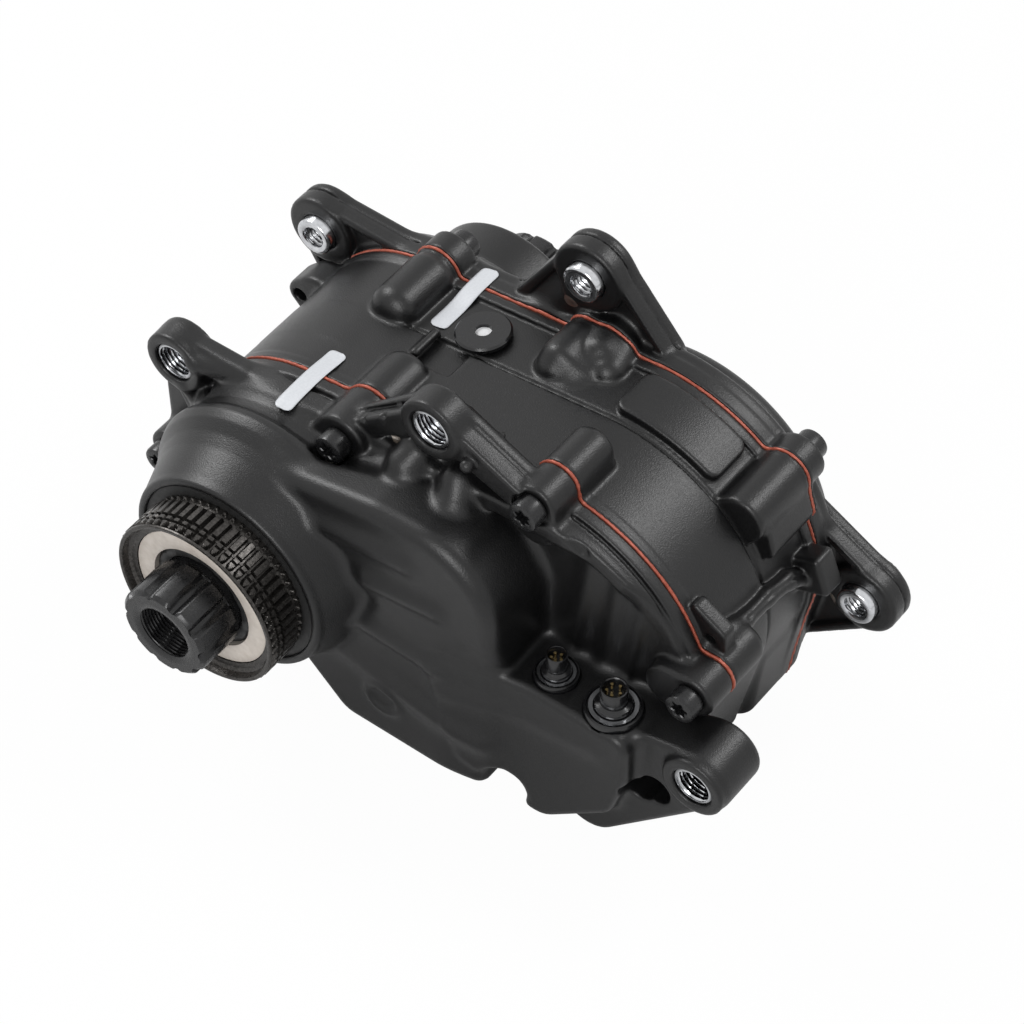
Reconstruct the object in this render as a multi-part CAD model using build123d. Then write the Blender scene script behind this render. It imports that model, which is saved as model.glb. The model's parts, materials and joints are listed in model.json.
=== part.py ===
from build123d import *
import math
import os

# Mid-drive motor of an electric bicycle, in millimetres.
# The crank axis runs along Y. The origin is on that axis, at the end face of the
# spindle on the drive side. +Y goes to the non-drive side, +X to the motor, +Z up.

# Axes of the gear train, as (X, Z)
CRANK = (0.0, 0.0)
COUNTER = (40.0, 0.0)
ROTOR = (76.0, 0.0)

# Stations along Y
CARRIER_FRONT = 12.4
COLLAR_FRONT = 25.6
GEAR_BULGE_FRONT = 38.0
LEDGE_BLOCK_FRONT = 42.4
POCKET_BACK = 59.4
POCKET_DEEP_BACK = 62.4
FLANGE_FRONT = 55.6
DRIVE_JOINT = 67.7
FAR_JOINT = 117.3
FAR_PLATE_BACK = 126.5
FAR_PLATEAU_BACK = 130.0
MOTOR_DOME_BACK = 134.0
FAR_COLLAR_BACK = 151.0
SPINDLE_LENGTH = 164.0
GASKET = 1.0
DRIVE_COVER_BACK = DRIVE_JOINT - GASKET / 2
MIDDLE_FRONT = DRIVE_JOINT + GASKET / 2
MIDDLE_BACK = FAR_JOINT - GASKET / 2
FAR_COVER_FRONT = FAR_JOINT + GASKET / 2

# Casing
WALL = 3.0
RIM_WALL = 4.5
CRANK_DRUM_R = 38.6
FAR_COLLAR_R = 26.0
MOTOR_DRUM_R = 47.8
FOOT_Z = -50.0
FOOT_CORNER_R = 10.0
FOOT_LEFT_X = 30.0
FOOT_RIGHT_X = 106.3
PARTITION = (72.0, 75.0)
BEARING_BOSS_BACK = 78.0
GROOVE_Y = (94.4, 95.6)
GROOVE_DEPTH = 0.7
SEAT = 0.05

# The flat top is the belt line between the two drums, so it rises towards the motor
TOP_SLOPE = math.degrees(math.asin((MOTOR_DRUM_R - CRANK_DRUM_R) / ROTOR[0]))
VENT = (30.5, 103.0)
VENT_R = 7.75
VENT_HOLE_R = 2.3
VENT_CAP = 1.4
LABEL_SIZE = (5.4, 24.4, 0.2)
LABELS = {"front_blank_label": (2.8, 65.2), "back_blank_label": (17.6, 111.6)}
DOWEL_R = 1.5
DOWEL_LENGTH = 7.0
DOWELS = ((-30.8, 19.2), (113.3, -26.1))

# Cast details
BULGE_RIBS = (((26.5, 27.7), (55.7, 31.6)), ((33.2, 4.7), (58.3, 7.0)), ((26.0, -22.0), (60.0, -13.6)))
BULGE_PAD = (41.9, -31.9)
RIB_R = 2.2
RIB_HEIGHT = 0.8
ARCH = (78.6, -45.5)
ARCH_R = 6.5
ARCH_BACK = 55.0
TOP_RECESS = (23.5, 91.0)
TOP_RECESS_SIZE = (14.0, 12.0)
TOP_RECESS_DEPTH = 2.0

# Frame ears: (X, Z, front face of the drive side ear, inboard end of the far bushing)
EARS = {
    "rear": (-41.7, 27.5, 55.7, 114.3),
    "top": (46.2, 61.4, 53.7, 116.8),
    "front": (135.1, -4.5, 44.7, 118.1),
}
EAR_R = 9.2
EAR_BACKS = {"rear": 64.2, "top": 61.9, "front": 61.9}
INSERT_R = 7.0
INSERT_BORE_R = 5.3
INSERT_CLEAR_R = 6.2
INSERT_DEPTH = 8.3
FAR_EAR_R = 10.7
FAR_EAR_DEPTH = 6.6
FAR_NECK_R = 7.6
FAR_NECK = 2.2
BUSHING_R = 5.6
BUSHING_BORE_R = 3.4
BUSHING_LENGTH = 12.5
BUSHING_PROUD = 2.8

# Casing screws: (X, Z, seat of the head along Y, boss radius, blind end of the boss along Y)
DRIVE_SCREWS = [
    (16.7, 38.1, 54.0, 7.6, 85.0),
    (76.3, 51.0, 57.0, 6.3, 84.0),
    (125.1, 11.6, 57.4, 6.4, 82.5),
    (-43.6, -6.0, 53.0, 6.4, 82.5),
    (8.0, -41.6, 57.0, 6.4, 82.5),
    (97.0, -43.2, 57.0, 6.4, 82.5),
]
FAR_SCREWS = [
    (-0.2, 38.8, 125.0, 7.3, 94.0),
    (56.7, 45.8, 125.0, 5.9, 102.5),
    (111.8, 34.2, 125.0, 7.0, 96.0),
    (-42.4, -10.0, 125.0, 6.4, 102.5),
    (8.0, -41.6, 125.0, 6.4, 102.5),
    (104.0, -42.0, 125.0, 6.4, 102.5),
]

# The second lobe of the double boss beside the top ear, which has no screw
FAR_LOBE = (49.0, 45.2, 125.0, 5.8, 102.5)
FAR_BOSSES = [*FAR_SCREWS, FAR_LOBE]
SCREW_R = 2.5
SCREW_HEAD_R = 4.3
SCREW_HEAD = 5.0
SCREW_HOLE_R = 2.75
SCREW_TAP_R = 2.55
SCREW_GRIP = 12.0
SOCKET_R = 2.4
SOCKET_DEPTH = 2.6

# Crank spindle
SPINDLE_R = 12.5
SPINDLE_NECK_R = 11.0
SPINDLE_JOURNAL_R = 14.0
SPINDLE_BORE_R = 8.0
SPINDLE_THREAD_R = 8.6
SPINDLE_THREAD_DEPTH = 16.0
SPINDLE_LOBES = 10
SPINDLE_LOBE_R = 13.7
SPINDLE_ROOT_R = 11.9
SPINDLE_SPLINE = 14.0
TORQUE_COIL_BORE_R = 14.0
FAR_BEARING_R = 19.0
FAR_BEARING = (136.1, 144.9)

# Chainring carrier
CARRIER_R = 26.0
CARRIER_TEETH = 56
CARRIER_ROOT_R = 24.9
CARRIER_BACK = 24.6
CARRIER_BEARING_R = 27.0
CARRIER_BEARING = (30.1, 37.1)
SLEEVE_R = 19.0
SLEEVE_BORE_R = 16.0
SLEEVE_BACK = 58.0
SHIELD_R = 21.5
SHIELD_BORE_R = 15.6
SHIELD_FRONT = 15.4

# Gears
STAGE_ONE_MODULE = 1.0
STAGE_ONE_PINION = 19
STAGE_ONE_WHEEL = 53
STAGE_ONE_Y = (63.5, 70.5)
STAGE_TWO_MODULE = 1.25
STAGE_TWO_PINION = 12
STAGE_TWO_WHEEL = 52
STAGE_TWO_Y = (47.5, 57.0)
PRESSURE_ANGLE = 20.0
BACKLASH = 0.12
COUNTER_SHAFT_R = 5.0
COUNTER_BEARING_R = 9.5
COUNTER_BOSS_R = 12.5
COUNTER_BEARINGS = ((41.5, 46.3), (72.8, 77.6))

# Motor
STATOR_R = 43.9
STATOR_BORE_R = 27.0
STATOR_YOKE_R = 38.8
STATOR_SLOTS = 12
STATOR_TOOTH = 7.0
STACK_Y = (84.0, 112.0)
COIL_OVERHANG = 4.5
ROTOR_R = 26.2
MAGNET = 2.4
MAGNETS = 10
SHAFT_R = 6.0
ROTOR_BEARING_R = 14.0
ROTOR_BOSS_R = 17.0
ROTOR_BEARINGS = ((72.8, 79.5), (119.2, 126.8))

# Connector ledge: (X, Y, flange radius, plug radius, plug height)
LEDGE_Z = 0.6
SMALL_PORT = (89.0, 50.3, 6.0, 3.0, 8.0)
LARGE_PORT = (107.0, 50.3, 7.8, 3.7, 8.5)


# Helpers
def at_y(y):
    """A drawing plane across the crank axis whose own x and y are X and Z."""
    return Plane(origin=(0, y, 0), x_dir=(1, 0, 0), z_dir=(0, -1, 0))


def prism(outline, y0, y1):
    """An outline in X and Z carried from y0 to y1."""
    return extrude(at_y(y0) * outline, amount=y1 - y0, dir=(0, 1, 0))


def rod(place, radius, y0, y1):
    return prism(Pos(place[0], place[1]) * Circle(radius), y0, y1)


def tube(place, outer, inner, y0, y1):
    return rod(place, outer, y0, y1) - rod(place, inner, y0 - 1, y1 + 1)


def turned(place, points):
    """A closed profile of (radius, Y) points turned about an axis along Y."""
    profile = make_face(Polyline(*points, close=True))
    return Pos(place[0], 0, place[1]) * revolve(profile, axis=Axis.Y)


def hull_of(*circles):
    """The outline that a belt would take round circles of (X, Z, radius)."""
    drawn = [Pos(x, z) * Circle(radius) for x, z, radius in circles]
    return make_hull([edge for circle in drawn for edge in circle.edges()])


def around(count, turn=0.0):
    return [turn + 360.0 * index / count for index in range(count)]


def rows_along_y(shape, place, count, turn=0.0):
    """Copies of a shape spread about an axis along Y."""
    centre = Pos(place[0], 0, place[1])
    return [centre * Rot(0, angle, 0) * shape for angle in around(count, turn)]


def on_top(along, y, lift=0.0):
    """A place on the flat top: along it from the crank drum, at y, lifted off it."""
    tilt = math.radians(TOP_SLOPE)
    height = CRANK_DRUM_R + lift
    x = along * math.cos(tilt) - height * math.sin(tilt)
    z = along * math.sin(tilt) + height * math.cos(tilt)
    return Pos(x, y, z) * Rot(0, -TOP_SLOPE, 0)


# Casing outlines
def casing_outline(inset=0.0):
    """The outline at both joints: crank drum, motor drum and the foot corners."""
    foot_z = FOOT_Z + FOOT_CORNER_R
    return hull_of(
        (*CRANK, CRANK_DRUM_R - inset),
        (*ROTOR, MOTOR_DRUM_R - inset),
        (FOOT_LEFT_X, foot_z, FOOT_CORNER_R - inset),
        (FOOT_RIGHT_X, foot_z, FOOT_CORNER_R - inset),
    )


def gear_bulge_outline(inset=0.0):
    return hull_of(
        (8.0, 7.0, 27.5 - inset),
        (54.0, 18.5, 23.8 - inset),
        (70.0, -41.5, 8.0 - inset),
        (31.0, -41.0, 8.5 - inset),
    )


def ledge_block_outline(inset=0.0):
    """The block under the connectors, from its ledge down to the foot."""
    return hull_of(
        (79.0, LEDGE_Z - 5.0, 5.0 - inset),
        (112.0, LEDGE_Z - 5.0, 5.0 - inset),
        (108.0, -14.0, 9.0 - inset),
        (104.0, -27.0, 9.0 - inset),
        (88.0, -41.0, 8.5 - inset),
    )


def pocket_end_outline(grow=0.0):
    """The end of the connector pocket, where the rim steps back to the joint."""
    return hull_of(*[(x, z, 7.0 + grow) for x in (114.0, 130.0) for z in (8.0, 36.0)])


def rear_web_outline():
    x, z = EARS["rear"][:2]
    return hull_of((x, z, EAR_R - 1), (-10.0, 9.0, 27.5))


def top_web_outline(inset=0.0):
    x, z = EARS["top"][:2]
    return hull_of((x, z, EAR_R - 1 - inset), (17.0, 36.0, 7.0 - inset), (77.0, 48.5, 7.0 - inset))


def front_web_outline():
    x, z = EARS["front"][:2]
    return hull_of((x, z, EAR_R), (118.0, LEDGE_Z - 6.0, 6.0), (101.5, -40.0, 9.8))


def front_web_pocket_outline():
    return hull_of((119.0, -16.5, 2.8), (125.0, -16.8, 2.8), (121.2, -21.6, 2.8))


def screw_boss(screw, y0, y1):
    """A round boss leaning on the nearer drum of the casing."""
    x, z, _, radius, _ = screw
    drum = CRANK if abs(x) < 40 else ROTOR
    reach = math.hypot(drum[0] - x, drum[1] - z)
    lean = 7.0 / reach
    foot = (x + lean * (drum[0] - x), z + lean * (drum[1] - z), radius + 0.8)
    return prism(hull_of((x, z, radius), foot), y0, y1)


def front_edges(shape):
    return shape.faces().sort_by(Axis.Y)[0].edges()


def back_edges(shape):
    return shape.faces().sort_by(Axis.Y)[-1].edges()


# Drive side cover
def crank_collar():
    return turned(CRANK, [
        (0, COLLAR_FRONT),
        (30.1, COLLAR_FRONT),
        (31.0, 28.0),
        (34.6, 37.0),
        (37.2, 41.5),
        (38.2, 47.0),
        (CRANK_DRUM_R, 53.0),
        (CRANK_DRUM_R, DRIVE_COVER_BACK),
        (0, DRIVE_COVER_BACK),
    ])


def crank_chamber():
    """Bore of the collar, from the seal seat in to the gear chamber."""
    return turned(CRANK, [
        (0, COLLAR_FRONT - 1),
        (28.2, COLLAR_FRONT - 1),
        (28.2, 29.6),
        (27.0 + SEAT, 29.6),
        (27.0 + SEAT, 37.2),
        (24.6, 37.2),
        (24.6, 38.6),
        (33.6, 43.2),
        (35.4, 48.0),
        (35.4, DRIVE_COVER_BACK + 1),
        (0, DRIVE_COVER_BACK + 1),
    ])


def gear_bulge():
    bulge = prism(gear_bulge_outline(), GEAR_BULGE_FRONT, DRIVE_COVER_BACK)
    return fillet(front_edges(bulge), 5.0)


def ledge_block():
    block = prism(ledge_block_outline(), LEDGE_BLOCK_FRONT, DRIVE_COVER_BACK)
    return fillet(front_edges(block), 2.4)


def joint_plate():
    """The plate at the joint and the raised rim round it, stepped where the pocket ends."""
    ring = casing_outline() - casing_outline(RIM_WALL)
    plate = prism(casing_outline(), POCKET_BACK, DRIVE_COVER_BACK)
    plate += prism(ring, FLANGE_FRONT, DRIVE_COVER_BACK)
    return plate - prism(pocket_end_outline(), FLANGE_FRONT - 1, POCKET_DEEP_BACK)


def bulge_details():
    """Low ribs and a round pad cast on the front of the gear bulge."""
    front = GEAR_BULGE_FRONT - RIB_HEIGHT
    back = GEAR_BULGE_FRONT + 1.0
    details = Part() + rod(BULGE_PAD, 5.4, front, back)
    for start, end in BULGE_RIBS:
        details += prism(hull_of((*start, RIB_R), (*end, RIB_R)), front, back)
    return details


def drive_ears():
    """Three bosses for the frame's bolts, with the webs that carry them."""
    ears = Part() + [rod(ear, EAR_R, ear[2], EAR_BACKS[name]) for name, ear in EARS.items()]
    ears += prism(rear_web_outline(), 58.0, EAR_BACKS["rear"] - 0.4)
    ears += prism(top_web_outline(), 58.8, EAR_BACKS["top"] + 0.6)
    ears += prism(top_web_outline() - top_web_outline(3.0), 56.0, EAR_BACKS["top"] + 0.6)
    ears += prism(front_web_outline(), 47.2, EAR_BACKS["front"] + 0.4)
    return ears - prism(front_web_pocket_outline(), 46.0, 58.0)


def port_holes():
    return [Pos(x, y, LEDGE_Z) * Cylinder(flange_r - 1.4, 20)
            for x, y, flange_r, _, _ in (SMALL_PORT, LARGE_PORT)]


def drive_cover_outside():
    joint = DRIVE_COVER_BACK
    shape = crank_collar() + gear_bulge() + ledge_block()
    shape += joint_plate()
    shape += drive_ears() + bulge_details()
    shape += [screw_boss(screw, screw[2], joint) for screw in DRIVE_SCREWS]
    return shape - rod(ARCH, ARCH_R, GEAR_BULGE_FRONT - 2, ARCH_BACK)


def drive_cover_inside():
    past = DRIVE_COVER_BACK + 1
    pocket_floor = prism(pocket_end_outline(2.0), POCKET_BACK, POCKET_DEEP_BACK + WALL)
    shape = prism(casing_outline(RIM_WALL), POCKET_BACK + WALL, past) - pocket_floor
    shape += prism(gear_bulge_outline(WALL), GEAR_BULGE_FRONT + WALL, past)
    shape += prism(ledge_block_outline(WALL), LEDGE_BLOCK_FRONT + WALL, past)
    shape -= rod(ARCH, ARCH_R + WALL, GEAR_BULGE_FRONT, ARCH_BACK + WALL)
    return shape + crank_chamber()


def make_drive_side_cover():
    joint = DRIVE_COVER_BACK
    past = joint + 1
    bearing_back = COUNTER_BEARINGS[0][1] - 0.1
    cover = drive_cover_outside() - drive_cover_inside()
    cover += [rod(screw, screw[3] - 1.0, POCKET_BACK, joint) for screw in DRIVE_SCREWS]
    cover += tube(COUNTER, COUNTER_BOSS_R, COUNTER_BEARING_R + SEAT, GEAR_BULGE_FRONT + 1, bearing_back)
    cover -= [rod(screw, SCREW_HEAD_R + 0.8, 30.0, screw[2]) for screw in DRIVE_SCREWS]
    cover -= [rod(screw, SCREW_HOLE_R, 30.0, past) for screw in DRIVE_SCREWS]
    cover -= [rod(ear, INSERT_R + SEAT, ear[2], ear[2] + INSERT_DEPTH) for ear in EARS.values()]
    cover -= [rod(ear, INSERT_CLEAR_R, ear[2], past) for ear in EARS.values()]
    cover -= port_holes() + dowel_holes(DRIVE_JOINT)
    return cover


# Middle housing
def raised_plate():
    """The bare raised panel on the motor drum, behind the step."""
    panel = tube(ROTOR, MOTOR_DRUM_R + 1.6, MOTOR_DRUM_R - 2.0, 98.0, 115.0)
    reach = 70.0
    edges = [math.radians(angle) for angle in (58.0, 93.0)]
    corners = [(0, 0)] + [(reach * math.cos(angle), reach * math.sin(angle)) for angle in edges]
    wedge = prism(Pos(*ROTOR) * make_face(Polyline(*corners, close=True)), 90.0, 120.0)
    return panel & wedge


def housing_lugs():
    """A pin tab and a stop block on the motor side, and a pierced lug behind the crank."""
    tab = prism(hull_of((117.5, 27.0, 2.6), (121.5, 19.5, 3.6), (112.0, 14.0, 4.0)), 69.0, 80.0)
    tab -= rod((121.2, 21.0), 1.2, 68.0, 81.0)
    block = prism(hull_of((120.0, 3.0, 3.0), (127.5, 4.0, 3.0), (127.5, 14.5, 3.0), (117.0, 17.0, 3.0)),
                  108.0, MIDDLE_BACK)
    lug = prism(hull_of((-30.0, 14.0, 9.0), (-39.5, 14.0, 4.5)), 105.0, 115.0)
    return tab + block + lug - rod((-39.5, 14.0), 2.0, 104.0, 116.0)


def housing_skin():
    """Outside of the middle housing, with the groove that runs round its waist."""
    skin = prism(casing_outline(), MIDDLE_FRONT, MIDDLE_BACK)
    skin -= prism(casing_outline(-1.0) - casing_outline(GROOVE_DEPTH), *GROOVE_Y)
    skin -= on_top(*TOP_RECESS) * Box(*TOP_RECESS_SIZE, 2 * TOP_RECESS_DEPTH)
    skin += raised_plate() + housing_lugs()
    skin += [screw_boss(screw, MIDDLE_FRONT, screw[4]) for screw in DRIVE_SCREWS]
    skin += [screw_boss(boss, boss[4], MIDDLE_BACK) for boss in FAR_BOSSES]
    return skin


def make_centre_housing():
    before = PARTITION[0] - 2
    floor = PARTITION[1]
    past = MIDDLE_BACK + 1
    shell = housing_skin()
    shell -= prism(casing_outline(RIM_WALL), MIDDLE_FRONT - 1, PARTITION[0])
    shell -= rod(ROTOR, STATOR_R + SEAT, floor, past)
    shell -= rod(CRANK, CRANK_DRUM_R - WALL - 0.8, floor, past)
    shell += rod(COUNTER, COUNTER_BOSS_R, floor - 1, BEARING_BOSS_BACK)
    shell += rod(ROTOR, ROTOR_BOSS_R, floor - 1, floor + 4)
    shell -= rod(COUNTER, COUNTER_BEARING_R + SEAT, PARTITION[0] + 0.6, BEARING_BOSS_BACK + 1)
    shell -= rod(COUNTER, COUNTER_BEARING_R - 1.5, before, BEARING_BOSS_BACK + 1)
    shell -= rod(ROTOR, ROTOR_BEARING_R + SEAT, PARTITION[0] + 0.6, floor + 5)
    shell -= rod(ROTOR, ROTOR_BEARING_R - 2, before, floor + 5)
    shell -= rod(CRANK, TORQUE_COIL_BORE_R - 0.1, before, floor + 2)
    shell -= [rod(s, SCREW_TAP_R, MIDDLE_FRONT - 1, MIDDLE_FRONT + SCREW_GRIP) for s in DRIVE_SCREWS]
    shell -= [rod(s, SCREW_TAP_R, MIDDLE_BACK - SCREW_GRIP, past) for s in FAR_SCREWS]
    shell -= dowel_holes(DRIVE_JOINT) + dowel_holes(FAR_JOINT)
    return shell


# Non-drive cover
def far_collar():
    return turned(CRANK, [
        (0, FAR_COVER_FRONT),
        (CRANK_DRUM_R, FAR_COVER_FRONT),
        (CRANK_DRUM_R, FAR_PLATE_BACK),
        (34.0, 131.0),
        (28.0, 133.5),
        (FAR_COLLAR_R, 136.0),
        (FAR_COLLAR_R, FAR_COLLAR_BACK - 1),
        (FAR_COLLAR_R - 1, FAR_COLLAR_BACK),
        (0, FAR_COLLAR_BACK),
    ])


def motor_dome():
    """The round end over the motor, and the lower plateau that joins it to the crank."""
    outline = hull_of((*ROTOR, 40.0), (14.0, 10.0, 26.0), (32.0, -37.0, 8.0), (90.0, -36.0, 8.0))
    plateau = prism(outline, FAR_COVER_FRONT, FAR_PLATEAU_BACK)
    dome = rod(ROTOR, 42.0, FAR_COVER_FRONT, MOTOR_DOME_BACK)
    return fillet(back_edges(plateau), 3.0) + fillet(back_edges(dome), 4.0)


def far_ears():
    """Three bosses for the sliding bushings, each with a web to the cover."""
    webs = {
        "rear": ((-10.0, 9.0, 27.5),),
        "top": ((27.0, 36.5, 6.5), (64.0, 42.0, 9.0)),
        "front": ((113.0, 8.0, 9.0), (106.0, -30.0, 9.0)),
    }
    ears = Part()
    for name, anchors in webs.items():
        x, z, _, bushing = EARS[name]
        face = bushing + BUSHING_PROUD
        back = face + FAR_EAR_DEPTH
        ears += rod((x, z), FAR_EAR_R, face, back)
        ears += rod((x, z), FAR_NECK_R, back - 1, back + FAR_NECK)
        ears += prism(hull_of((x, z, FAR_EAR_R - 1.5), *anchors), face + 1, back - 0.6)
    return ears


def far_spindle_bore():
    """Clearance, bearing seat and seal seat through the far collar."""
    seat_front = FAR_BEARING[0] - 0.1
    seat_back = FAR_BEARING[1] + 0.1
    return turned(CRANK, [
        (0, 110.0),
        (17.0, 110.0),
        (17.0, seat_front),
        (FAR_BEARING_R + SEAT, seat_front),
        (FAR_BEARING_R + SEAT, seat_back),
        (18.0, seat_back),
        (18.0, FAR_COLLAR_BACK + 1),
        (0, FAR_COLLAR_BACK + 1),
    ])


def make_non_drive_cover():
    front = FAR_COVER_FRONT
    before = front - 1
    dome_floor = MOTOR_DOME_BACK - WALL
    seat_end = ROTOR_BEARINGS[1][1] + 0.2
    cover = prism(casing_outline(), front, FAR_PLATE_BACK)
    cover += motor_dome() + far_collar() + far_ears()
    cover += [screw_boss(boss, front, boss[2]) for boss in FAR_BOSSES]
    cover -= prism(casing_outline(RIM_WALL), before, 121.0)
    cover -= rod(ROTOR, 38.0, before, dome_floor)
    cover += tube(ROTOR, ROTOR_BOSS_R, ROTOR_BEARING_R + SEAT, 119.0, seat_end)
    cover += tube(ROTOR, ROTOR_BOSS_R, ROTOR_BEARING_R - 2, seat_end, dome_floor + 1)
    cover += rod(CRANK, 22.0, 118.5, 124.0)
    cover += [rod(boss, boss[3] - 1.0, front, 124.0) for boss in FAR_BOSSES]
    cover -= far_spindle_bore()
    cover -= [rod(screw, SCREW_HEAD_R + 0.8, screw[2], 150.0) for screw in FAR_SCREWS]
    cover -= [rod(screw, SCREW_HOLE_R, before, 150.0) for screw in FAR_SCREWS]
    cover -= [rod((x, z), BUSHING_R + SEAT, y, y + 30.0) for x, z, _, y in EARS.values()]
    cover -= dowel_holes(FAR_JOINT)
    return cover


# Gaskets
def make_gasket(y0, bosses, screws):
    ring = casing_outline()
    for x, z, _, radius, _ in bosses:
        ring += Pos(x, z) * Circle(radius)
    ring -= casing_outline(RIM_WALL)
    for x, z, _, radius, _ in bosses:
        ring += Pos(x, z) * Circle(radius - 1.0)
    for x, z, _, _, _ in screws:
        ring -= Pos(x, z) * Circle(SCREW_HOLE_R)
    for x, z in DOWELS:
        ring -= Pos(x, z) * Circle(DOWEL_R + SEAT)
    return prism(ring, y0, y0 + GASKET)


# Fasteners and mounting hardware
def cap_screw(x, z, seat, direction):
    """A cap screw whose head stands off its seat against the given direction."""
    top = seat - direction * SCREW_HEAD
    tip = seat + direction * (abs(seat - joint_for(direction)) + SCREW_GRIP - 2)
    socket = prism(Pos(x, z) * RegularPolygon(SOCKET_R, 6), top - direction, top + direction * SOCKET_DEPTH)
    return rod((x, z), SCREW_HEAD_R, top, seat) + rod((x, z), SCREW_R, seat, tip) - socket


def joint_for(direction):
    return DRIVE_JOINT if direction > 0 else FAR_JOINT


def make_screws(screws, direction):
    return Compound([cap_screw(x, z, seat, direction) for x, z, seat, _, _ in screws])


def make_thread_inserts():
    return Compound([
        tube(ear, INSERT_R, INSERT_BORE_R, ear[2], ear[2] + INSERT_DEPTH) for ear in EARS.values()
    ])


def make_dowels():
    half = DOWEL_LENGTH / 2
    return Compound([rod(place, DOWEL_R, joint - half, joint + half)
                     for place in DOWELS for joint in (DRIVE_JOINT, FAR_JOINT)])


def dowel_holes(joint):
    half = DOWEL_LENGTH / 2 + 0.4
    return [rod(place, DOWEL_R + SEAT, joint - half, joint + half) for place in DOWELS]


def make_bushing(ear):
    x, z, _, start = ear
    end = start + BUSHING_LENGTH
    return turned((x, z), [
        (BUSHING_BORE_R + 0.8, start),
        (BUSHING_R - 0.6, start),
        (BUSHING_R, start + 0.6),
        (BUSHING_R, end),
        (BUSHING_BORE_R, end),
        (BUSHING_BORE_R, start + 0.8),
    ])


# Spindle and carrier
def lobed_outline(tip, root, count, duty):
    """A round with straight-sided lobes, tips and roots on their own circles."""
    points = []
    for angle in around(count):
        half = 180.0 / count
        for radius, turn in ((root, -half), (root, -half * duty), (tip, -half * duty * 0.86),
                             (tip, half * duty * 0.86), (root, half * duty)):
            a = math.radians(angle + turn)
            points.append((radius * math.cos(a), radius * math.sin(a)))
    return make_face(Polyline(*points, close=True))


def make_crank_spindle():
    body = turned(CRANK, [
        (0, SPINDLE_SPLINE),
        (SPINDLE_R, SPINDLE_SPLINE),
        (SPINDLE_R, 60.0),
        (SPINDLE_NECK_R, 62.0),
        (SPINDLE_NECK_R, 73.0),
        (SPINDLE_R, 76.0),
        (SPINDLE_R, FAR_BEARING[0] - 2.6),
        (SPINDLE_JOURNAL_R, FAR_BEARING[0] - 2.1),
        (SPINDLE_JOURNAL_R, SPINDLE_LENGTH - SPINDLE_SPLINE),
        (0, SPINDLE_LENGTH - SPINDLE_SPLINE),
    ])
    spline = lobed_outline(SPINDLE_LOBE_R, SPINDLE_ROOT_R, SPINDLE_LOBES, 0.62)
    body += prism(spline, 0.0, SPINDLE_SPLINE + 1)
    body += prism(spline, SPINDLE_LENGTH - SPINDLE_SPLINE - 1, SPINDLE_LENGTH)
    body -= rod(CRANK, SPINDLE_BORE_R, -1, SPINDLE_LENGTH + 1)
    body -= rod(CRANK, SPINDLE_THREAD_R, -1, SPINDLE_THREAD_DEPTH)
    body -= rod(CRANK, SPINDLE_THREAD_R, SPINDLE_LENGTH - SPINDLE_THREAD_DEPTH, SPINDLE_LENGTH + 1)
    return body


def make_chainring_carrier():
    body = turned(CRANK, [
        (22.6, CARRIER_FRONT),
        (CARRIER_R - 0.3, CARRIER_FRONT),
        (CARRIER_R - 0.3, CARRIER_FRONT + 1.2),
        (CARRIER_ROOT_R, CARRIER_FRONT + 1.6),
        (CARRIER_ROOT_R, CARRIER_BACK),
        (24.4, CARRIER_BACK),
        (24.4, 29.8),
        (SLEEVE_R, 29.8),
        (SLEEVE_R, SLEEVE_BACK),
        (SLEEVE_BORE_R, SLEEVE_BACK),
        (SLEEVE_BORE_R, 17.4),
        (22.0, 17.4),
        (22.0, SHIELD_FRONT - 0.4),
    ])
    teeth = lobed_outline(CARRIER_R, CARRIER_ROOT_R - 0.3, CARRIER_TEETH, 0.6)
    teeth -= Circle(CARRIER_ROOT_R - 0.9)
    body += prism(teeth, CARRIER_FRONT + 3.6, CARRIER_BACK)
    return body


def make_dust_shield():
    return tube(CRANK, SHIELD_R, SHIELD_BORE_R, SHIELD_FRONT, 17.3)


def make_ring(outer, inner, y0, y1):
    return tube(CRANK, outer, inner, y0, y1)


def roller_set(place, pitch_r, roller_r, count, y0, y1):
    roller = rod((pitch_r, 0), roller_r, y0, y1)
    return Compound(rows_along_y(roller, place, count))


def roller_cage(place, outer, inner, pitch_r, roller_r, count, y0, y1):
    cage = tube(place, outer, inner, y0, y1)
    slot = rod((pitch_r, 0), roller_r + 0.15, y0 + 1, y1 - 1)
    return cage - rows_along_y(slot, place, count)


# Bearings: an outer race with its shields, and an inner race that turns with the shaft
def outer_race(place, inner_r, outer_r, y0, y1):
    middle = (inner_r + outer_r) / 2
    thick = (outer_r - inner_r) * 0.3
    return turned(place, [
        (outer_r, y0),
        (outer_r, y1),
        (middle - thick * 0.4, y1),
        (middle - thick * 0.4, y1 - 0.8),
        (outer_r - thick, y1 - 0.8),
        (outer_r - thick, y0 + 0.8),
        (middle - thick * 0.4, y0 + 0.8),
        (middle - thick * 0.4, y0),
    ])


def inner_race(place, inner_r, outer_r, y0, y1):
    middle = (inner_r + outer_r) / 2
    thick = (outer_r - inner_r) * 0.3
    return tube(place, min(inner_r + thick, middle - thick * 0.4 - 0.15), inner_r, y0, y1)


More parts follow.
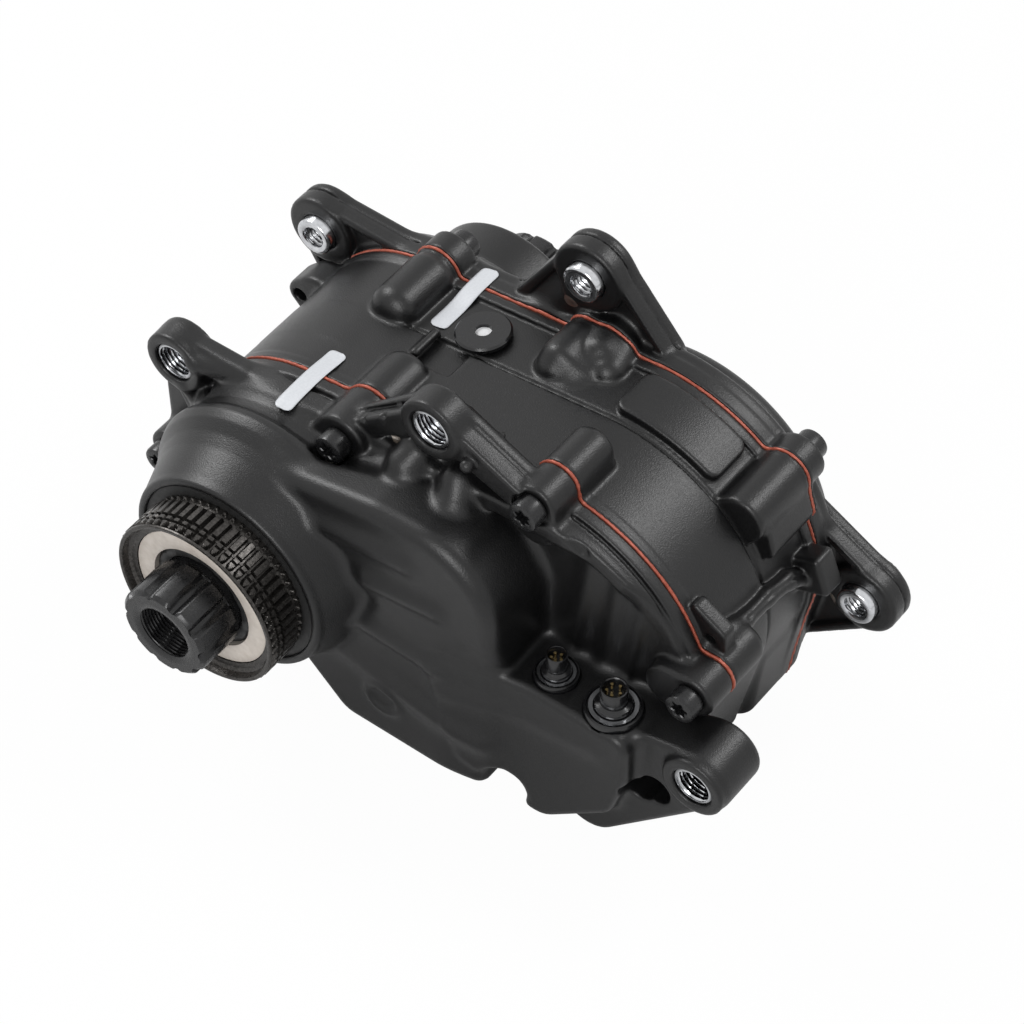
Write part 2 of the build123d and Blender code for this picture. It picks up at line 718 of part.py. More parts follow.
# Gears
def gear_outline(module, teeth, bore_r, phase=0.0):
    """A spur gear with involute flanks of three points and a little backlash."""
    pitch_r = module * teeth / 2
    base_r = pitch_r * math.cos(math.radians(PRESSURE_ANGLE))
    tip_r = pitch_r + module
    root_r = pitch_r - 1.2 * module

    def involute(radius):
        if radius <= base_r:
            return 0.0
        pressure = math.acos(base_r / radius)
        return math.tan(pressure) - pressure

    half_at_pitch = math.pi / (2 * teeth) - BACKLASH / (2 * pitch_r)
    middle_r = max(pitch_r, base_r)
    points = []
    for angle in around(teeth, phase):
        centre = math.radians(angle)
        flank = [(root_r, involute(middle_r) - involute(base_r)),
                 (middle_r, 0.0),
                 (tip_r, involute(middle_r) - involute(tip_r))]
        for radius, lead in flank:
            turn = centre - half_at_pitch - lead
            points.append((radius * math.cos(turn), radius * math.sin(turn)))
        for radius, lead in reversed(flank):
            turn = centre + half_at_pitch + lead
            points.append((radius * math.cos(turn), radius * math.sin(turn)))
    return make_face(Polyline(*points, close=True)) - Circle(bore_r)


def gear(place, module, teeth, bore_r, y0, y1, phase=0.0):
    return prism(Pos(*place) * gear_outline(module, teeth, bore_r, phase), y0, y1)


def make_output_gear():
    y0, y1 = STAGE_TWO_Y
    wheel = gear(CRANK, STAGE_TWO_MODULE, STAGE_TWO_WHEEL, 23.0, y0, y1)
    groove = tube(CRANK, 29.4, 25.4, y0 - 1, y0 + 2.5) + tube(CRANK, 29.4, 25.4, y1 - 2.5, y1 + 1)
    return wheel - groove


def make_counter_shaft():
    """The small steel pinion and the shaft it is cut on."""
    shaft = turned(COUNTER, [
        (0, 41.6),
        (COUNTER_SHAFT_R, 41.6),
        (COUNTER_SHAFT_R, 46.6),
        (5.8, 46.6),
        (5.8, 61.0),
        (8.0, 61.0),
        (8.0, 63.4),
        (6.5, 63.4),
        (6.5, 71.0),
        (5.6, 71.0),
        (5.6, 72.6),
        (COUNTER_SHAFT_R, 72.6),
        (COUNTER_SHAFT_R, 77.6),
        (0, 77.6),
    ])
    phase = 180.0 / STAGE_TWO_PINION
    teeth = gear(COUNTER, STAGE_TWO_MODULE, STAGE_TWO_PINION, 5.0, 47.0, 60.0, phase)
    return shaft + teeth


def make_counter_gear():
    y0, y1 = STAGE_ONE_Y
    wheel = gear(COUNTER, STAGE_ONE_MODULE, STAGE_ONE_WHEEL, 6.5, y0, y1)
    wheel -= tube(COUNTER, 22.5, 10.0, y0 - 1, y0 + 2.0)
    wheel -= tube(COUNTER, 22.5, 10.0, y1 - 2.0, y1 + 1)
    holes = rows_along_y(rod((16.2, 0), 4.0, y0, y1), COUNTER, 6, 30.0)
    return wheel - holes


def make_rotor_pinion():
    y0, y1 = STAGE_ONE_Y
    return gear(ROTOR, STAGE_ONE_MODULE, STAGE_ONE_PINION, 5.0, y0 - 0.3, y1)


def make_rotor_shaft():
    return turned(ROTOR, [
        (0, 62.9),
        (5.0, 62.9),
        (5.0, 71.0),
        (SHAFT_R, 71.0),
        (SHAFT_R, 127.0),
        (0, 127.0),
    ])


# Motor
def make_stator_core():
    ring = Circle(STATOR_R) - Circle(STATOR_YOKE_R)
    length = STATOR_YOKE_R - STATOR_BORE_R + 1
    tooth = Pos(STATOR_BORE_R + length / 2 + 0.5, 0) * Rectangle(length, STATOR_TOOTH)
    shoe = Pos(STATOR_BORE_R + 0.9, 0) * Rectangle(1.8, 11.6)
    arm = tooth + shoe
    ring += [Rot(0, 0, angle) * arm for angle in around(STATOR_SLOTS)]
    ring -= Circle(STATOR_BORE_R)
    return prism(Pos(*ROTOR) * ring, *STACK_Y)


def make_stator_coils():
    inner_x = STATOR_BORE_R + 2.6
    depth = STATOR_YOKE_R - inner_x - 0.6
    width = STATOR_TOOTH + 5.6
    length = STACK_Y[1] - STACK_Y[0]
    middle = (STACK_Y[0] + STACK_Y[1]) / 2
    winding = Box(depth, length + 2 * COIL_OVERHANG, width)
    winding -= Box(depth + 2, length + 0.2, STATOR_TOOTH + 0.2)
    coil = Pos(inner_x + depth / 2, middle, 0) * winding
    return Compound(rows_along_y(coil, ROTOR, STATOR_SLOTS))


def make_rotor_core():
    core = Circle(ROTOR_R - MAGNET) - Circle(SHAFT_R)
    core -= [Rot(0, 0, angle) * Pos(15.5, 0) * Circle(3.4) for angle in around(6)]
    return prism(Pos(*ROTOR) * core, *STACK_Y)


def make_rotor_magnets():
    segment = Circle(ROTOR_R) - Circle(ROTOR_R - MAGNET)
    gap = Rectangle(2 * ROTOR_R, 1.6)
    for angle in around(MAGNETS // 2):
        segment -= Rot(0, 0, angle) * gap
    return prism(Pos(*ROTOR) * segment, *STACK_Y)


# Electronics and connectors
def make_port(port):
    """A panel connector: body below the ledge, round flange and keyed plug above it."""
    x, y, flange_r, plug_r, height = port
    flange = Pos(x, y, LEDGE_Z + 0.8) * Cylinder(flange_r, 1.6)
    body = Pos(x, y, LEDGE_Z - 5) * Cylinder(flange_r - 1.5, 10)
    step = Pos(x, y, LEDGE_Z + 2.3) * Cylinder(plug_r + 1.2, 1.6)
    plug = Pos(x, y, LEDGE_Z + height / 2) * Cylinder(plug_r, height)
    cup = Pos(x, y, LEDGE_Z + height) * Cylinder(plug_r - 0.7, 5)
    return flange + body + step + plug - cup


def make_contacts(port, count, ring_r):
    x, y, _, _, height = port
    pins = [Pos(x, y, LEDGE_Z) * Rot(0, 0, angle) * Pos(ring_r, 0, height - 1.6) * Cylinder(0.4, 1.7)
            for angle in around(count)]
    return pins


def make_snap_ring(port):
    x, y, flange_r, plug_r, _ = port
    z = LEDGE_Z + 1.6
    ring = Cylinder(flange_r - 0.6, 0.8) - Cylinder(plug_r + 1.25, 2)
    ring -= Pos(0, flange_r, 0) * Box(3.0, 2 * flange_r, 2)
    return Pos(x, y, z + 0.4) * ring


def make_controller_board():
    return Pos(96.0, 63.8, -24.0) * Rot(90, 0, 0) * Box(26, 24, 1.6)


def make_board_capacitors():
    return Compound([Pos(x, 58.0, -30.0) * Rot(90, 0, 0) * Cylinder(4.0, 10.0) for x in (91.0, 101.0)])


def make_torque_sensor_coil():
    coil = tube(CRANK, 17.0, TORQUE_COIL_BORE_R, 82.0, 113.0)
    return coil + tube(CRANK, 21.5, TORQUE_COIL_BORE_R, 113.0, 118.3)


# Vent and blank labels on the flat top
def make_vent_cap():
    cap = Cylinder(VENT_R, VENT_CAP) - Cylinder(VENT_HOLE_R, VENT_CAP + 2)
    rim = cap.edges().sort_by(Axis.Z)[-2:].sort_by(SortBy.RADIUS)[-1]
    return on_top(*VENT, VENT_CAP / 2) * chamfer(rim, 0.5)


def make_vent_membrane():
    return on_top(*VENT, 0.2) * Cylinder(VENT_HOLE_R - SEAT, 0.4)


def make_label(place):
    sheet = Box(*LABEL_SIZE)
    return on_top(*place, LABEL_SIZE[2] / 2) * fillet(sheet.edges().filter_by(Axis.Z), 1.0)


def write(name, shape):
    export_step(shape, f"parts/{name}.step")


def casing_nodes():
    return {
        "drive_side_cover": make_drive_side_cover(),
        "centre_housing": make_centre_housing(),
        "non_drive_cover": make_non_drive_cover(),
        "drive_side_gasket": make_gasket(DRIVE_COVER_BACK, DRIVE_SCREWS, DRIVE_SCREWS),
        "non_drive_gasket": make_gasket(MIDDLE_BACK, FAR_BOSSES, FAR_SCREWS),
        "drive_side_screws": make_screws(DRIVE_SCREWS, 1),
        "non_drive_screws": make_screws(FAR_SCREWS, -1),
        "joint_dowels": make_dowels(),
        "frame_thread_inserts": make_thread_inserts(),
        "rear_sliding_bushing": make_bushing(EARS["rear"]),
        "top_sliding_bushing": make_bushing(EARS["top"]),
        "front_sliding_bushing": make_bushing(EARS["front"]),
        "vent_cap": make_vent_cap(),
        "vent_membrane": make_vent_membrane(),
        **{name: make_label(place) for name, place in LABELS.items()},
    }


def crank_nodes():
    seal_back = FAR_COLLAR_BACK - 1
    return {
        "crank_spindle": make_crank_spindle(),
        "torque_sensor_sleeve": make_ring(SPINDLE_R + 1.0, SPINDLE_R, 80.0, 112.0),
        "torque_sensor_coil": make_torque_sensor_coil(),
        "spindle_bearing_outer": outer_race(CRANK, SPINDLE_JOURNAL_R, FAR_BEARING_R, *FAR_BEARING),
        "spindle_bearing_inner": inner_race(CRANK, SPINDLE_JOURNAL_R, FAR_BEARING_R, *FAR_BEARING),
        "spindle_seal_non_drive": make_ring(17.95, SPINDLE_JOURNAL_R + 0.05, seal_back - 4, seal_back),
        "chainring_carrier": make_chainring_carrier(),
        "carrier_dust_shield": make_dust_shield(),
        "spindle_seal_drive": make_ring(
            SHIELD_BORE_R - SEAT, SPINDLE_LOBE_R + 0.25, SHIELD_FRONT + 0.4, 17.3),
        "carrier_seal": make_ring(28.15, 24.5, 26.6, 29.4),
        "carrier_bearing_outer": outer_race(CRANK, SLEEVE_R, CARRIER_BEARING_R, *CARRIER_BEARING),
        "carrier_bearing_inner": inner_race(CRANK, SLEEVE_R, CARRIER_BEARING_R, *CARRIER_BEARING),
        "needle_bearing": roller_cage(CRANK, 15.95, 12.55, 14.25, 1.6, 10, 30.0, 44.0),
        "rider_clutch_rollers": roller_set(CRANK, 14.25, 1.65, 8, 47.0, 56.0),
    }


def gear_nodes():
    front, back = STAGE_TWO_Y
    return {
        "motor_clutch_cage": roller_cage(CRANK, 22.7, 19.3, 21.0, 1.9, 10, front + 0.4, back - 0.4),
        "motor_clutch_rollers": roller_set(CRANK, 21.0, 1.9, 10, front + 1.6, back - 1.6),
        "output_gear": make_output_gear(),
        "counter_shaft": make_counter_shaft(),
        "counter_gear": make_counter_gear(),
        "counter_bearings_outer": Compound([
            outer_race(COUNTER, COUNTER_SHAFT_R, COUNTER_BEARING_R, *span) for span in COUNTER_BEARINGS]),
        "counter_bearings_inner": Compound([
            inner_race(COUNTER, COUNTER_SHAFT_R, COUNTER_BEARING_R, *span) for span in COUNTER_BEARINGS]),
    }


def motor_nodes():
    return {
        "rotor_shaft": make_rotor_shaft(),
        "rotor_pinion": make_rotor_pinion(),
        "rotor_core": make_rotor_core(),
        "rotor_magnets": make_rotor_magnets(),
        "rotor_bearings_outer": Compound([
            outer_race(ROTOR, SHAFT_R, ROTOR_BEARING_R, *span) for span in ROTOR_BEARINGS]),
        "rotor_bearings_inner": Compound([
            inner_race(ROTOR, SHAFT_R, ROTOR_BEARING_R, *span) for span in ROTOR_BEARINGS]),
        "stator_core": make_stator_core(),
        "stator_coils": make_stator_coils(),
    }


def connector_nodes():
    contacts = make_contacts(SMALL_PORT, 5, 1.4) + make_contacts(LARGE_PORT, 5, 1.9)
    return {
        "controller_board": make_controller_board(),
        "board_capacitors": make_board_capacitors(),
        "small_connector": make_port(SMALL_PORT),
        "large_connector": make_port(LARGE_PORT),
        "connector_contacts": Compound(contacts),
        "snap_rings": Compound([make_snap_ring(port) for port in (SMALL_PORT, LARGE_PORT)]),
    }


os.makedirs("parts", exist_ok=True)
for nodes in (casing_nodes(), crank_nodes(), gear_nodes(), motor_nodes(), connector_nodes()):
    for node_name, node_shape in nodes.items():
        write(node_name, node_shape)
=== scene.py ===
"""Looks for a mid-drive bicycle motor: cast housings with soft blends, threads, splines, coats and metals.

Lengths are in millimetres in the CAD's frame until a mesh is made: the crank axis is Y,
+X goes to the motor and +Z is up. The origin is the drive side end of the spindle.
"""

import json
import math

import bpy
import numpy as np
import openvdb
from mathutils import Matrix, Vector


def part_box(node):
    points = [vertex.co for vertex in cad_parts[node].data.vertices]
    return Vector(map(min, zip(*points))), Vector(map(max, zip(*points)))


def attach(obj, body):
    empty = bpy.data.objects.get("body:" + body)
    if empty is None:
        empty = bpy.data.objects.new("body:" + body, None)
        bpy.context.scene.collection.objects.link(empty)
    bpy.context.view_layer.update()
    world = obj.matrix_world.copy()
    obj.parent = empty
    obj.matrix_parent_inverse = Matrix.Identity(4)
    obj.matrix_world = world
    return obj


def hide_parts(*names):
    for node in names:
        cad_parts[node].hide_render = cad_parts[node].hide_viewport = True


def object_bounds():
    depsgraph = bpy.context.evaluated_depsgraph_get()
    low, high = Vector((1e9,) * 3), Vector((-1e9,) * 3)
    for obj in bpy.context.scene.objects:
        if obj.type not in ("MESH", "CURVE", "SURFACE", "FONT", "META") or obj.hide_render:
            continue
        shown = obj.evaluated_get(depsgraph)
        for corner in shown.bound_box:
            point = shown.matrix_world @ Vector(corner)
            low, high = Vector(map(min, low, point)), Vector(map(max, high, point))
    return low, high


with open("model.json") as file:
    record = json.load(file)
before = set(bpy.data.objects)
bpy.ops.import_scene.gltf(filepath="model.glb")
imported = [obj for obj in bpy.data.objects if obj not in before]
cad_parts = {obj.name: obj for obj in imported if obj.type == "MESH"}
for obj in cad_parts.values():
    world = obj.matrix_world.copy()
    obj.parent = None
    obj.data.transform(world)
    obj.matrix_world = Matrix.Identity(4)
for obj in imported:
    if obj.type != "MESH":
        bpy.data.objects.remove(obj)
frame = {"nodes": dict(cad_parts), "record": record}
cad_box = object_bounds()

MM = 0.001


# What the housings take from the frame
def node_box(name):
    """The lowest and highest corner of a CAD node."""
    low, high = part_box(name)
    return np.array(low) / MM, np.array(high) / MM


DRIVE_JOINT, FAR_JOINT = (
    [corner[1] for corner in node_box(gasket)] for gasket in ("drive_side_gasket", "non_drive_gasket")
)
SPINDLE_LENGTH = node_box("crank_spindle")[1][1]

# The two shafts' places in X and Z, and the drums round them
CRANK = (0.0, 0.0)
ROTOR = (76.0, 0.0)
CRANK_DRUM_R = 38.6
MOTOR_DRUM_R = 47.8
FOOT_Z = -50.0
CASE = ((*CRANK, CRANK_DRUM_R), (*ROTOR, MOTOR_DRUM_R), (30.0, -40.0, 10.0), (106.3, -40.0, 10.0))

# The case's wall, where the case steps in and by how much, and how far its joint bands stand out
RIM_WALL = 4.5
STEP_Y = 95.0
WAIST = 1.0
BAND = 0.3

# Each ear's x and z, where its drive side face lies, and where its far bushing starts
EARS = {
    "rear": (-41.7, 27.5, 55.7, 114.3),
    "top": (46.2, 61.4, 53.7, 116.8),
    "front": (135.1, -4.5, 44.7, 118.1),
}
EAR_R = 9.2
EAR_BACKS = {"rear": 64.2, "top": 61.9, "front": 61.9}
INSERT_DEPTH = 8.3
FAR_EAR_R = 10.7
FAR_EAR_DEPTH = 8.6
FAR_NECK_R = 7.6
FAR_NECK = 2.2
BUSHING_PROUD = 2.8
BUSHING_LENGTH = 12.5

# Each screw's x and z, its seat, the radius of its boss, and how deep the blind boss reaches
DRIVE_SCREWS = [
    (16.7, 38.1, 54.0, 7.6, 85.0),
    (76.3, 51.0, 57.0, 6.3, 84.0),
    (125.1, 11.6, 57.4, 6.4, 82.5),
    (-43.6, -6.0, 53.0, 6.4, 82.5),
    (8.0, -41.6, 57.0, 6.4, 82.5),
    (97.0, -43.2, 57.0, 6.4, 82.5),
]
FAR_SCREWS = [
    (-0.2, 38.8, 125.0, 7.3, 94.0),
    (56.7, 45.8, 125.0, 5.9, 108.0),
    (111.8, 34.2, 125.0, 7.0, 96.0),
    (-42.4, -10.0, 125.0, 6.4, 102.5),
    (8.0, -41.6, 125.0, 6.4, 102.5),
    (104.0, -42.0, 125.0, 6.4, 102.5),
]
FAR_LOBE = (49.0, 45.2, 125.0, 5.8, 101.0)
SCREW_HEAD_R = 4.3
SCREW_HEAD = 5.0
SCREW_LENGTH = 19.0

# The ledge in the connector pocket: each port's x, y and size
LEDGE_Z = 0.6
PORTS = {"small_connector": (89.0, 50.3, 0.78), "large_connector": (107.0, 50.3, 1.0)}


# Outlines in X and Z
def even(count):
    """Angles evenly round a turn."""
    return np.linspace(0, 2 * math.pi, count, endpoint=False)


def circle(x, z, radius, least=48, per_radius=6):
    """Points round a circle, more on a larger one."""
    angles = even(max(least, int(per_radius * radius)))
    return np.column_stack([x + radius * np.cos(angles), z + radius * np.sin(angles)])


def belt(*circles, grow=0.0):
    """The closed outline that a belt would take round circles of (x, z, radius)."""
    points = np.vstack([circle(x, z, radius + grow) for x, z, radius in circles])
    points = sorted(map(tuple, np.round(points, 6)))

    def chain(ordered):
        kept = []
        for point in ordered:
            while len(kept) > 1 and bend(kept[-2], kept[-1], point) <= 0:
                kept.pop()
            kept.append(point)
        return kept[:-1]

    return np.array(chain(points) + chain(points[::-1]))


def bend(a, b, c):
    """Above zero where the way from a over b to c turns left."""
    return (b[0] - a[0]) * (c[1] - a[1]) - (b[1] - a[1]) * (c[0] - a[0])


def outline_distance(points, across, up):
    """Signed distance from a closed outline on the grid of two axes, negative inside."""
    px, pz = across[:, None], up[None, :]
    nearest = np.full((len(across), len(up)), 1e9, np.float32)
    inside = np.zeros(nearest.shape, bool)
    for (ax, az), (bx, bz) in zip(points, np.roll(points, -1, axis=0)):
        ex, ez = bx - ax, bz - az
        wx, wz = px - ax, pz - az
        share = np.clip((wx * ex + wz * ez) / (ex * ex + ez * ez + 1e-12), 0, 1)
        nearest = np.minimum(nearest, (wx - share * ex) ** 2 + (wz - share * ez) ** 2)
        if abs(ez) > 1e-9:
            inside ^= ((az > pz) != (bz > pz)) & (wx < wz * ex / ez)
    distance = np.sqrt(nearest)
    return np.where(inside, -distance, distance).astype(np.float32)


# Forms: each is a box of (low, high) corners and a distance at open grids x, y and z
def soft_min(a, b, blend):
    """The lesser of two distances, with a fillet where they meet."""
    share = np.clip(0.5 + 0.5 * (b - a) / blend, 0, 1)
    return b + (a - b) * share - blend * share * (1 - share)


def rounded(first, second, edge):
    """Distance of what lies inside both, with its edge rounded."""
    first, second = first + edge, second + edge
    outside = np.sqrt(np.maximum(first, 0) ** 2 + np.maximum(second, 0) ** 2)
    return np.minimum(np.maximum(first, second), 0) + outside - edge


def within(y, y0, y1):
    """Distance along Y from a span, negative inside."""
    return np.abs(y - (y0 + y1) / 2) - (y1 - y0) / 2


def outlined(outline, y0, y1, shape, pad=0.0):
    """A form that is shaped from the distance to an outline in X and Z."""
    low, high = outline.min(0) - pad, outline.max(0) + pad

    def distance(x, y, z):
        return shape(outline_distance(outline, x.ravel(), z.ravel())[:, None, :], x, y, z)

    return ((low[0], y0, low[1]), (high[0], y1, high[1])), distance


def slab(outline, y0, y1, edge=0.8):
    """An outline carried along Y from y0 to y1."""
    return outlined(outline, y0, y1, lambda flat, x, y, z: rounded(flat, within(y, y0, y1), edge))


def fronted(outline, front, y1, edge):
    """An outline carried back to y1 from a front that is given as a function of x and z."""
    return outlined(
        outline, 30.0, y1, lambda flat, x, y, z: rounded(flat, np.maximum(front(x, z) - y, y - y1), edge),
    )


def rim(outline, width, front, y1, edge):
    """A wall of some width just inside an outline, with a front that is a function of x and z."""
    def wall(flat, x, y, z):
        return rounded(np.abs(flat + width / 2) - width / 2, np.maximum(front(x, z) - y, y - y1), edge)

    return outlined(outline, 50.0, y1, wall)


def groove(outline, depth, y0, y1, from_x=-60.0, clear=1.2):
    """A groove of some depth round an outline, from y0 to y1 and on from a place along X."""
    def channel(flat, x, y, z):
        sides = np.maximum(within(y, y0, y1), from_x - x)
        return np.maximum(np.maximum(-flat - depth, flat - clear), sides)

    return outlined(outline, y0, y1, channel, pad=2)


def post(place, radius, y0, y1, edge=0.8):
    """A round bar along Y."""
    low = (place[0] - radius, y0, place[1] - radius)
    high = (place[0] + radius, y1, place[1] + radius)

    def distance(x, y, z):
        return rounded(np.hypot(x - place[0], z - place[1]) - radius, within(y, y0, y1), edge)

    return (low, high), distance


def limb(a, b, radius, end_radius=None):
    """A round bar with domed ends from a to b, which may taper."""
    end_radius = radius if end_radius is None else end_radius
    a, b = np.array(a, float), np.array(b, float)
    most = max(radius, end_radius)
    run = b - a

    def distance(x, y, z):
        wx, wy, wz = x - a[0], y - a[1], z - a[2]
        share = np.clip((wx * run[0] + wy * run[1] + wz * run[2]) / (run @ run), 0, 1)
        away = (wx - share * run[0]) ** 2 + (wy - share * run[1]) ** 2 + (wz - share * run[2]) ** 2
        return np.sqrt(away) - (radius + share * (end_radius - radius))

    return (np.minimum(a, b) - most, np.maximum(a, b) + most), distance


def block(centre, size, edge=0.8, tilt=0.0, swing=0.0):
    """A rounded box, tilted about Y and then swung about Z, in degrees."""
    half = np.array(size) / 2
    turned = Matrix.Rotation(math.radians(swing), 3, "Z") @ Matrix.Rotation(math.radians(-tilt), 3, "Y")
    axes = np.array(turned).T
    reach = float(np.linalg.norm(half))

    def distance(x, y, z):
        gaps = []
        for axis, limit in zip(axes, half):
            along = (x - centre[0]) * axis[0] + (y - centre[1]) * axis[1] + (z - centre[2]) * axis[2]
            gaps.append(np.abs(along) - limit + edge)
        outside = np.sqrt(sum(np.maximum(gap, 0) ** 2 for gap in gaps))
        return np.minimum(np.maximum(np.maximum(gaps[0], gaps[1]), gaps[2]), 0) + outside - edge

    return (np.array(centre) - reach, np.array(centre) + reach), distance


def lathed(place, profile):
    """A closed profile of (radius, y) turned about an axis along Y."""
    profile = np.array(profile, float)
    most = profile[:, 0].max()
    fine = 0.2

    def distance(x, y, z):
        radii = np.arange(0, 4 * most, fine, dtype=np.float32)
        table = outline_distance(profile, radii, y.ravel().astype(np.float32))
        place_in_table = np.hypot(x - place[0], z - place[1])[:, 0, :] / fine
        first = np.minimum(place_in_table.astype(int), len(radii) - 2)
        share = (place_in_table - first)[:, :, None]
        return (table[first] * (1 - share) + table[first + 1] * share).transpose(0, 2, 1)

    low = (place[0] - most, profile[:, 1].min(), place[1] - most)
    high = (place[0] + most, profile[:, 1].max(), place[1] + most)
    return (low, high), distance


class Casting:
    """Metal as a signed distance on a regular grid, negative inside."""

    STEP = 0.6
    FAR = 60.0
    PAD = 2.0

    def __init__(self, low, high):
        self.axes = [np.arange(a, b + self.STEP, self.STEP, dtype=np.float32) for a, b in zip(low, high)]
        self.values = np.full([len(axis) for axis in self.axes], self.FAR, np.float32)

    def part(self, low, high, pad):
        """Where the grid holds a box, and its x, y and z there."""
        picks = tuple(
            slice(*np.searchsorted(axis, (first - pad, last + pad)))
            for axis, first, last in zip(self.axes, low, high)
        )
        return picks, np.ix_(*(axis[pick] for axis, pick in zip(self.axes, picks)))

    def add(self, form, blend=1.5):
        """Joins a form to the metal with a fillet."""
        (low, high), distance = form
        picks, grids = self.part(low, high, blend + self.PAD)
        if self.values[picks].size:
            self.values[picks] = soft_min(self.values[picks], distance(*grids), blend)

    def cut(self, form, blend=0.6):
        """Takes a form away from the metal and rounds the edge it leaves."""
        (low, high), distance = form
        picks, grids = self.part(low, high, blend + self.PAD)
        if self.values[picks].size:
            self.values[picks] = -soft_min(-self.values[picks], distance(*grids), blend)

    def between(self, y0, y1, rear_ear="", edge=0.4, grow=0.0):
        """A copy of what lies from y0 to y1, with its edges at the joints rounded.

        The far rear ear reaches past the non-drive cover's joint: a copy holds it whole where
        rear_ear is "kept", and nothing of it where rear_ear is "left out".
        """
        ear_x, ear_z, _, bushing = EARS["rear"]
        face = bushing + BUSHING_PROUD
        kept = rear_ear == "kept"
        piece = object.__new__(Casting)
        pick = slice(*np.searchsorted(self.axes[1], ((face if kept else y0) - 3.0, y1 + 2.0)))
        piece.axes = [self.axes[0], self.axes[1][pick], self.axes[2]]
        x, y, z = np.ix_(*piece.axes)
        from_ear = np.hypot(x - ear_x, z - ear_z) - FAR_EAR_R - 0.5
        limits = np.maximum(y0 - y, y - y1)
        if kept:
            limits = np.minimum(limits, np.maximum(from_ear, face - 2.0 - y))
        elif rear_ear == "left out":
            limits = np.maximum(limits, np.minimum(-from_ear, y - face + 1.5))
        piece.values = rounded(self.values[:, pick, :] - grow, limits, edge)
        return piece

    def keep_inside(self, box, margin=0.06):
        """Cuts off what reaches past a box of two corners in metres."""
        for axis, (low, high) in enumerate(zip(*box)):
            shape = [1, 1, 1]
            shape[axis] = -1
            along = self.axes[axis].reshape(shape)
            past = np.maximum(low / MM + margin - along, along - high / MM + margin)
            self.values = np.maximum(self.values, past.astype(np.float32))

    def slopes(self, points):
        """Unit directions in which the distance grows at points."""
        steps = [(points[:, axis] - self.axes[axis][0]) / self.STEP for axis in range(3)]
        shape = self.values.shape
        found = []
        for axis in range(3):
            slope = np.gradient(self.values, axis=axis)
            total = 0
            for corner in np.ndindex(2, 2, 2):
                share, place = 1, []
                for step, side, most in zip(steps, corner, shape):
                    first = np.clip(np.floor(step).astype(int), 0, most - 2)
                    share = share * (step - first if side else 1 - step + first)
                    place.append(first + side)
                total = total + share * slope[tuple(place)]
            found.append(total)
        found = np.column_stack(found)
        return found / np.maximum(np.linalg.norm(found, axis=1, keepdims=True), 1e-9)

    def height(self, x, y):
        """The topmost surface at x and y."""
        i, j = (int(round((value - axis[0]) / self.STEP)) for value, axis in zip((x, y), self.axes))
        column = self.values[i, j]
        top = len(column) - 1 - int(np.argmax(column[::-1] < 0))
        share = column[top] / (column[top] - column[top + 1])
        return self.axes[2][top] + share * self.STEP

    def mesh(self, name, most=190_000):
        """Skins the metal, thins the mesh to the most triangles allowed, and shades it smooth."""
        band = 3 * self.STEP
        grid = openvdb.FloatGrid(band)
        grid.copyFromArray(np.clip(self.values, -band, band))
        points, quads = grid.convertToQuads(0.0)
        points = points * self.STEP + np.array([axis[0] for axis in self.axes])
        made = bpy.data.meshes.new(name)
        made.from_pydata((points * MM).tolist(), [], quads.tolist())
        piece = link(name, made)
        triangles = 2 * len(quads)
        if triangles > most:
            thinner = piece.modifiers.new("thin", "DECIMATE")
            thinner.ratio = most / triangles
            plain(piece)
        piece.data.shade_smooth()
        places = np.empty(3 * len(piece.data.vertices), np.float32)
        piece.data.vertices.foreach_get("co", places)
        piece.data.normals_split_custom_set_from_vertices(self.slopes(places.reshape(-1, 3) / MM))
        return piece


# Meshes
def link(name, mesh):
    """Puts a mesh into the scene."""
    piece = bpy.data.objects.new(name, mesh)
    bpy.context.scene.collection.objects.link(piece)
    return piece


def plain(piece):
    """Turns a piece and its modifiers into a plain mesh."""
    graph = bpy.context.evaluated_depsgraph_get()
    mesh = bpy.data.meshes.new_from_object(piece.evaluated_get(graph))
    piece.modifiers.clear()
    old, piece.data = piece.data, mesh
    name = old.name
    bpy.data.meshes.remove(old)
    mesh.name = name
    return piece


def wrapped(name, rings, angles, place=(0, 0, 0), axis="Y", closed=True):
    """A skin through rings of (radius, station), which may vary with the angle, about an axis."""
    angles = np.asarray(angles)
    count = len(angles)
    rows = []
    for radius, station in rings:
        radius = np.broadcast_to(radius, count)
        station = np.broadcast_to(station, count)
        across, up = radius * np.cos(angles), radius * np.sin(angles)
        if axis == "Y":
            rows.append(np.column_stack([across, station, up]))
        else:
            rows.append(np.column_stack([across, up, station]))
    points = np.vstack(rows) + np.array(place)
    faces = []
    total = len(rows)
    for row in range(total if closed else total - 1):
        here, there = row * count, (row + 1) % total * count
        for column in range(count):
            right = (column + 1) % count
            faces.append((here + column, here + right, there + right, there + column))
    if not closed:
        faces.append(tuple(range(count))[::-1])
        faces.append(tuple(range((total - 1) * count, total * count)))
    if axis == "Y":
        faces = [face[::-1] for face in faces]
    mesh = bpy.data.meshes.new(name)
    mesh.from_pydata((points * MM).tolist(), [], faces)
    mesh.update()
    return link(name, mesh)


def thread(radius, depth, pitch, start, end, angles, steps=6, flat=1.25):
    """Rings of a screw thread cut into a wall, fading in at both ends, with flats at its roots."""
    rings = []
    for station in np.linspace(start, end, int(abs(end - start) / pitch * steps) + 1):
        phase = (station / pitch + angles / (2 * math.pi)) % 1.0
        profile = 1 - 2 * np.abs(phase - 0.5)
        fade = min(1.0, min(abs(station - start), abs(end - station)) / pitch)
        rings.append((radius + depth * np.clip(profile * flat, 0, 1) * fade, station))
    return rings


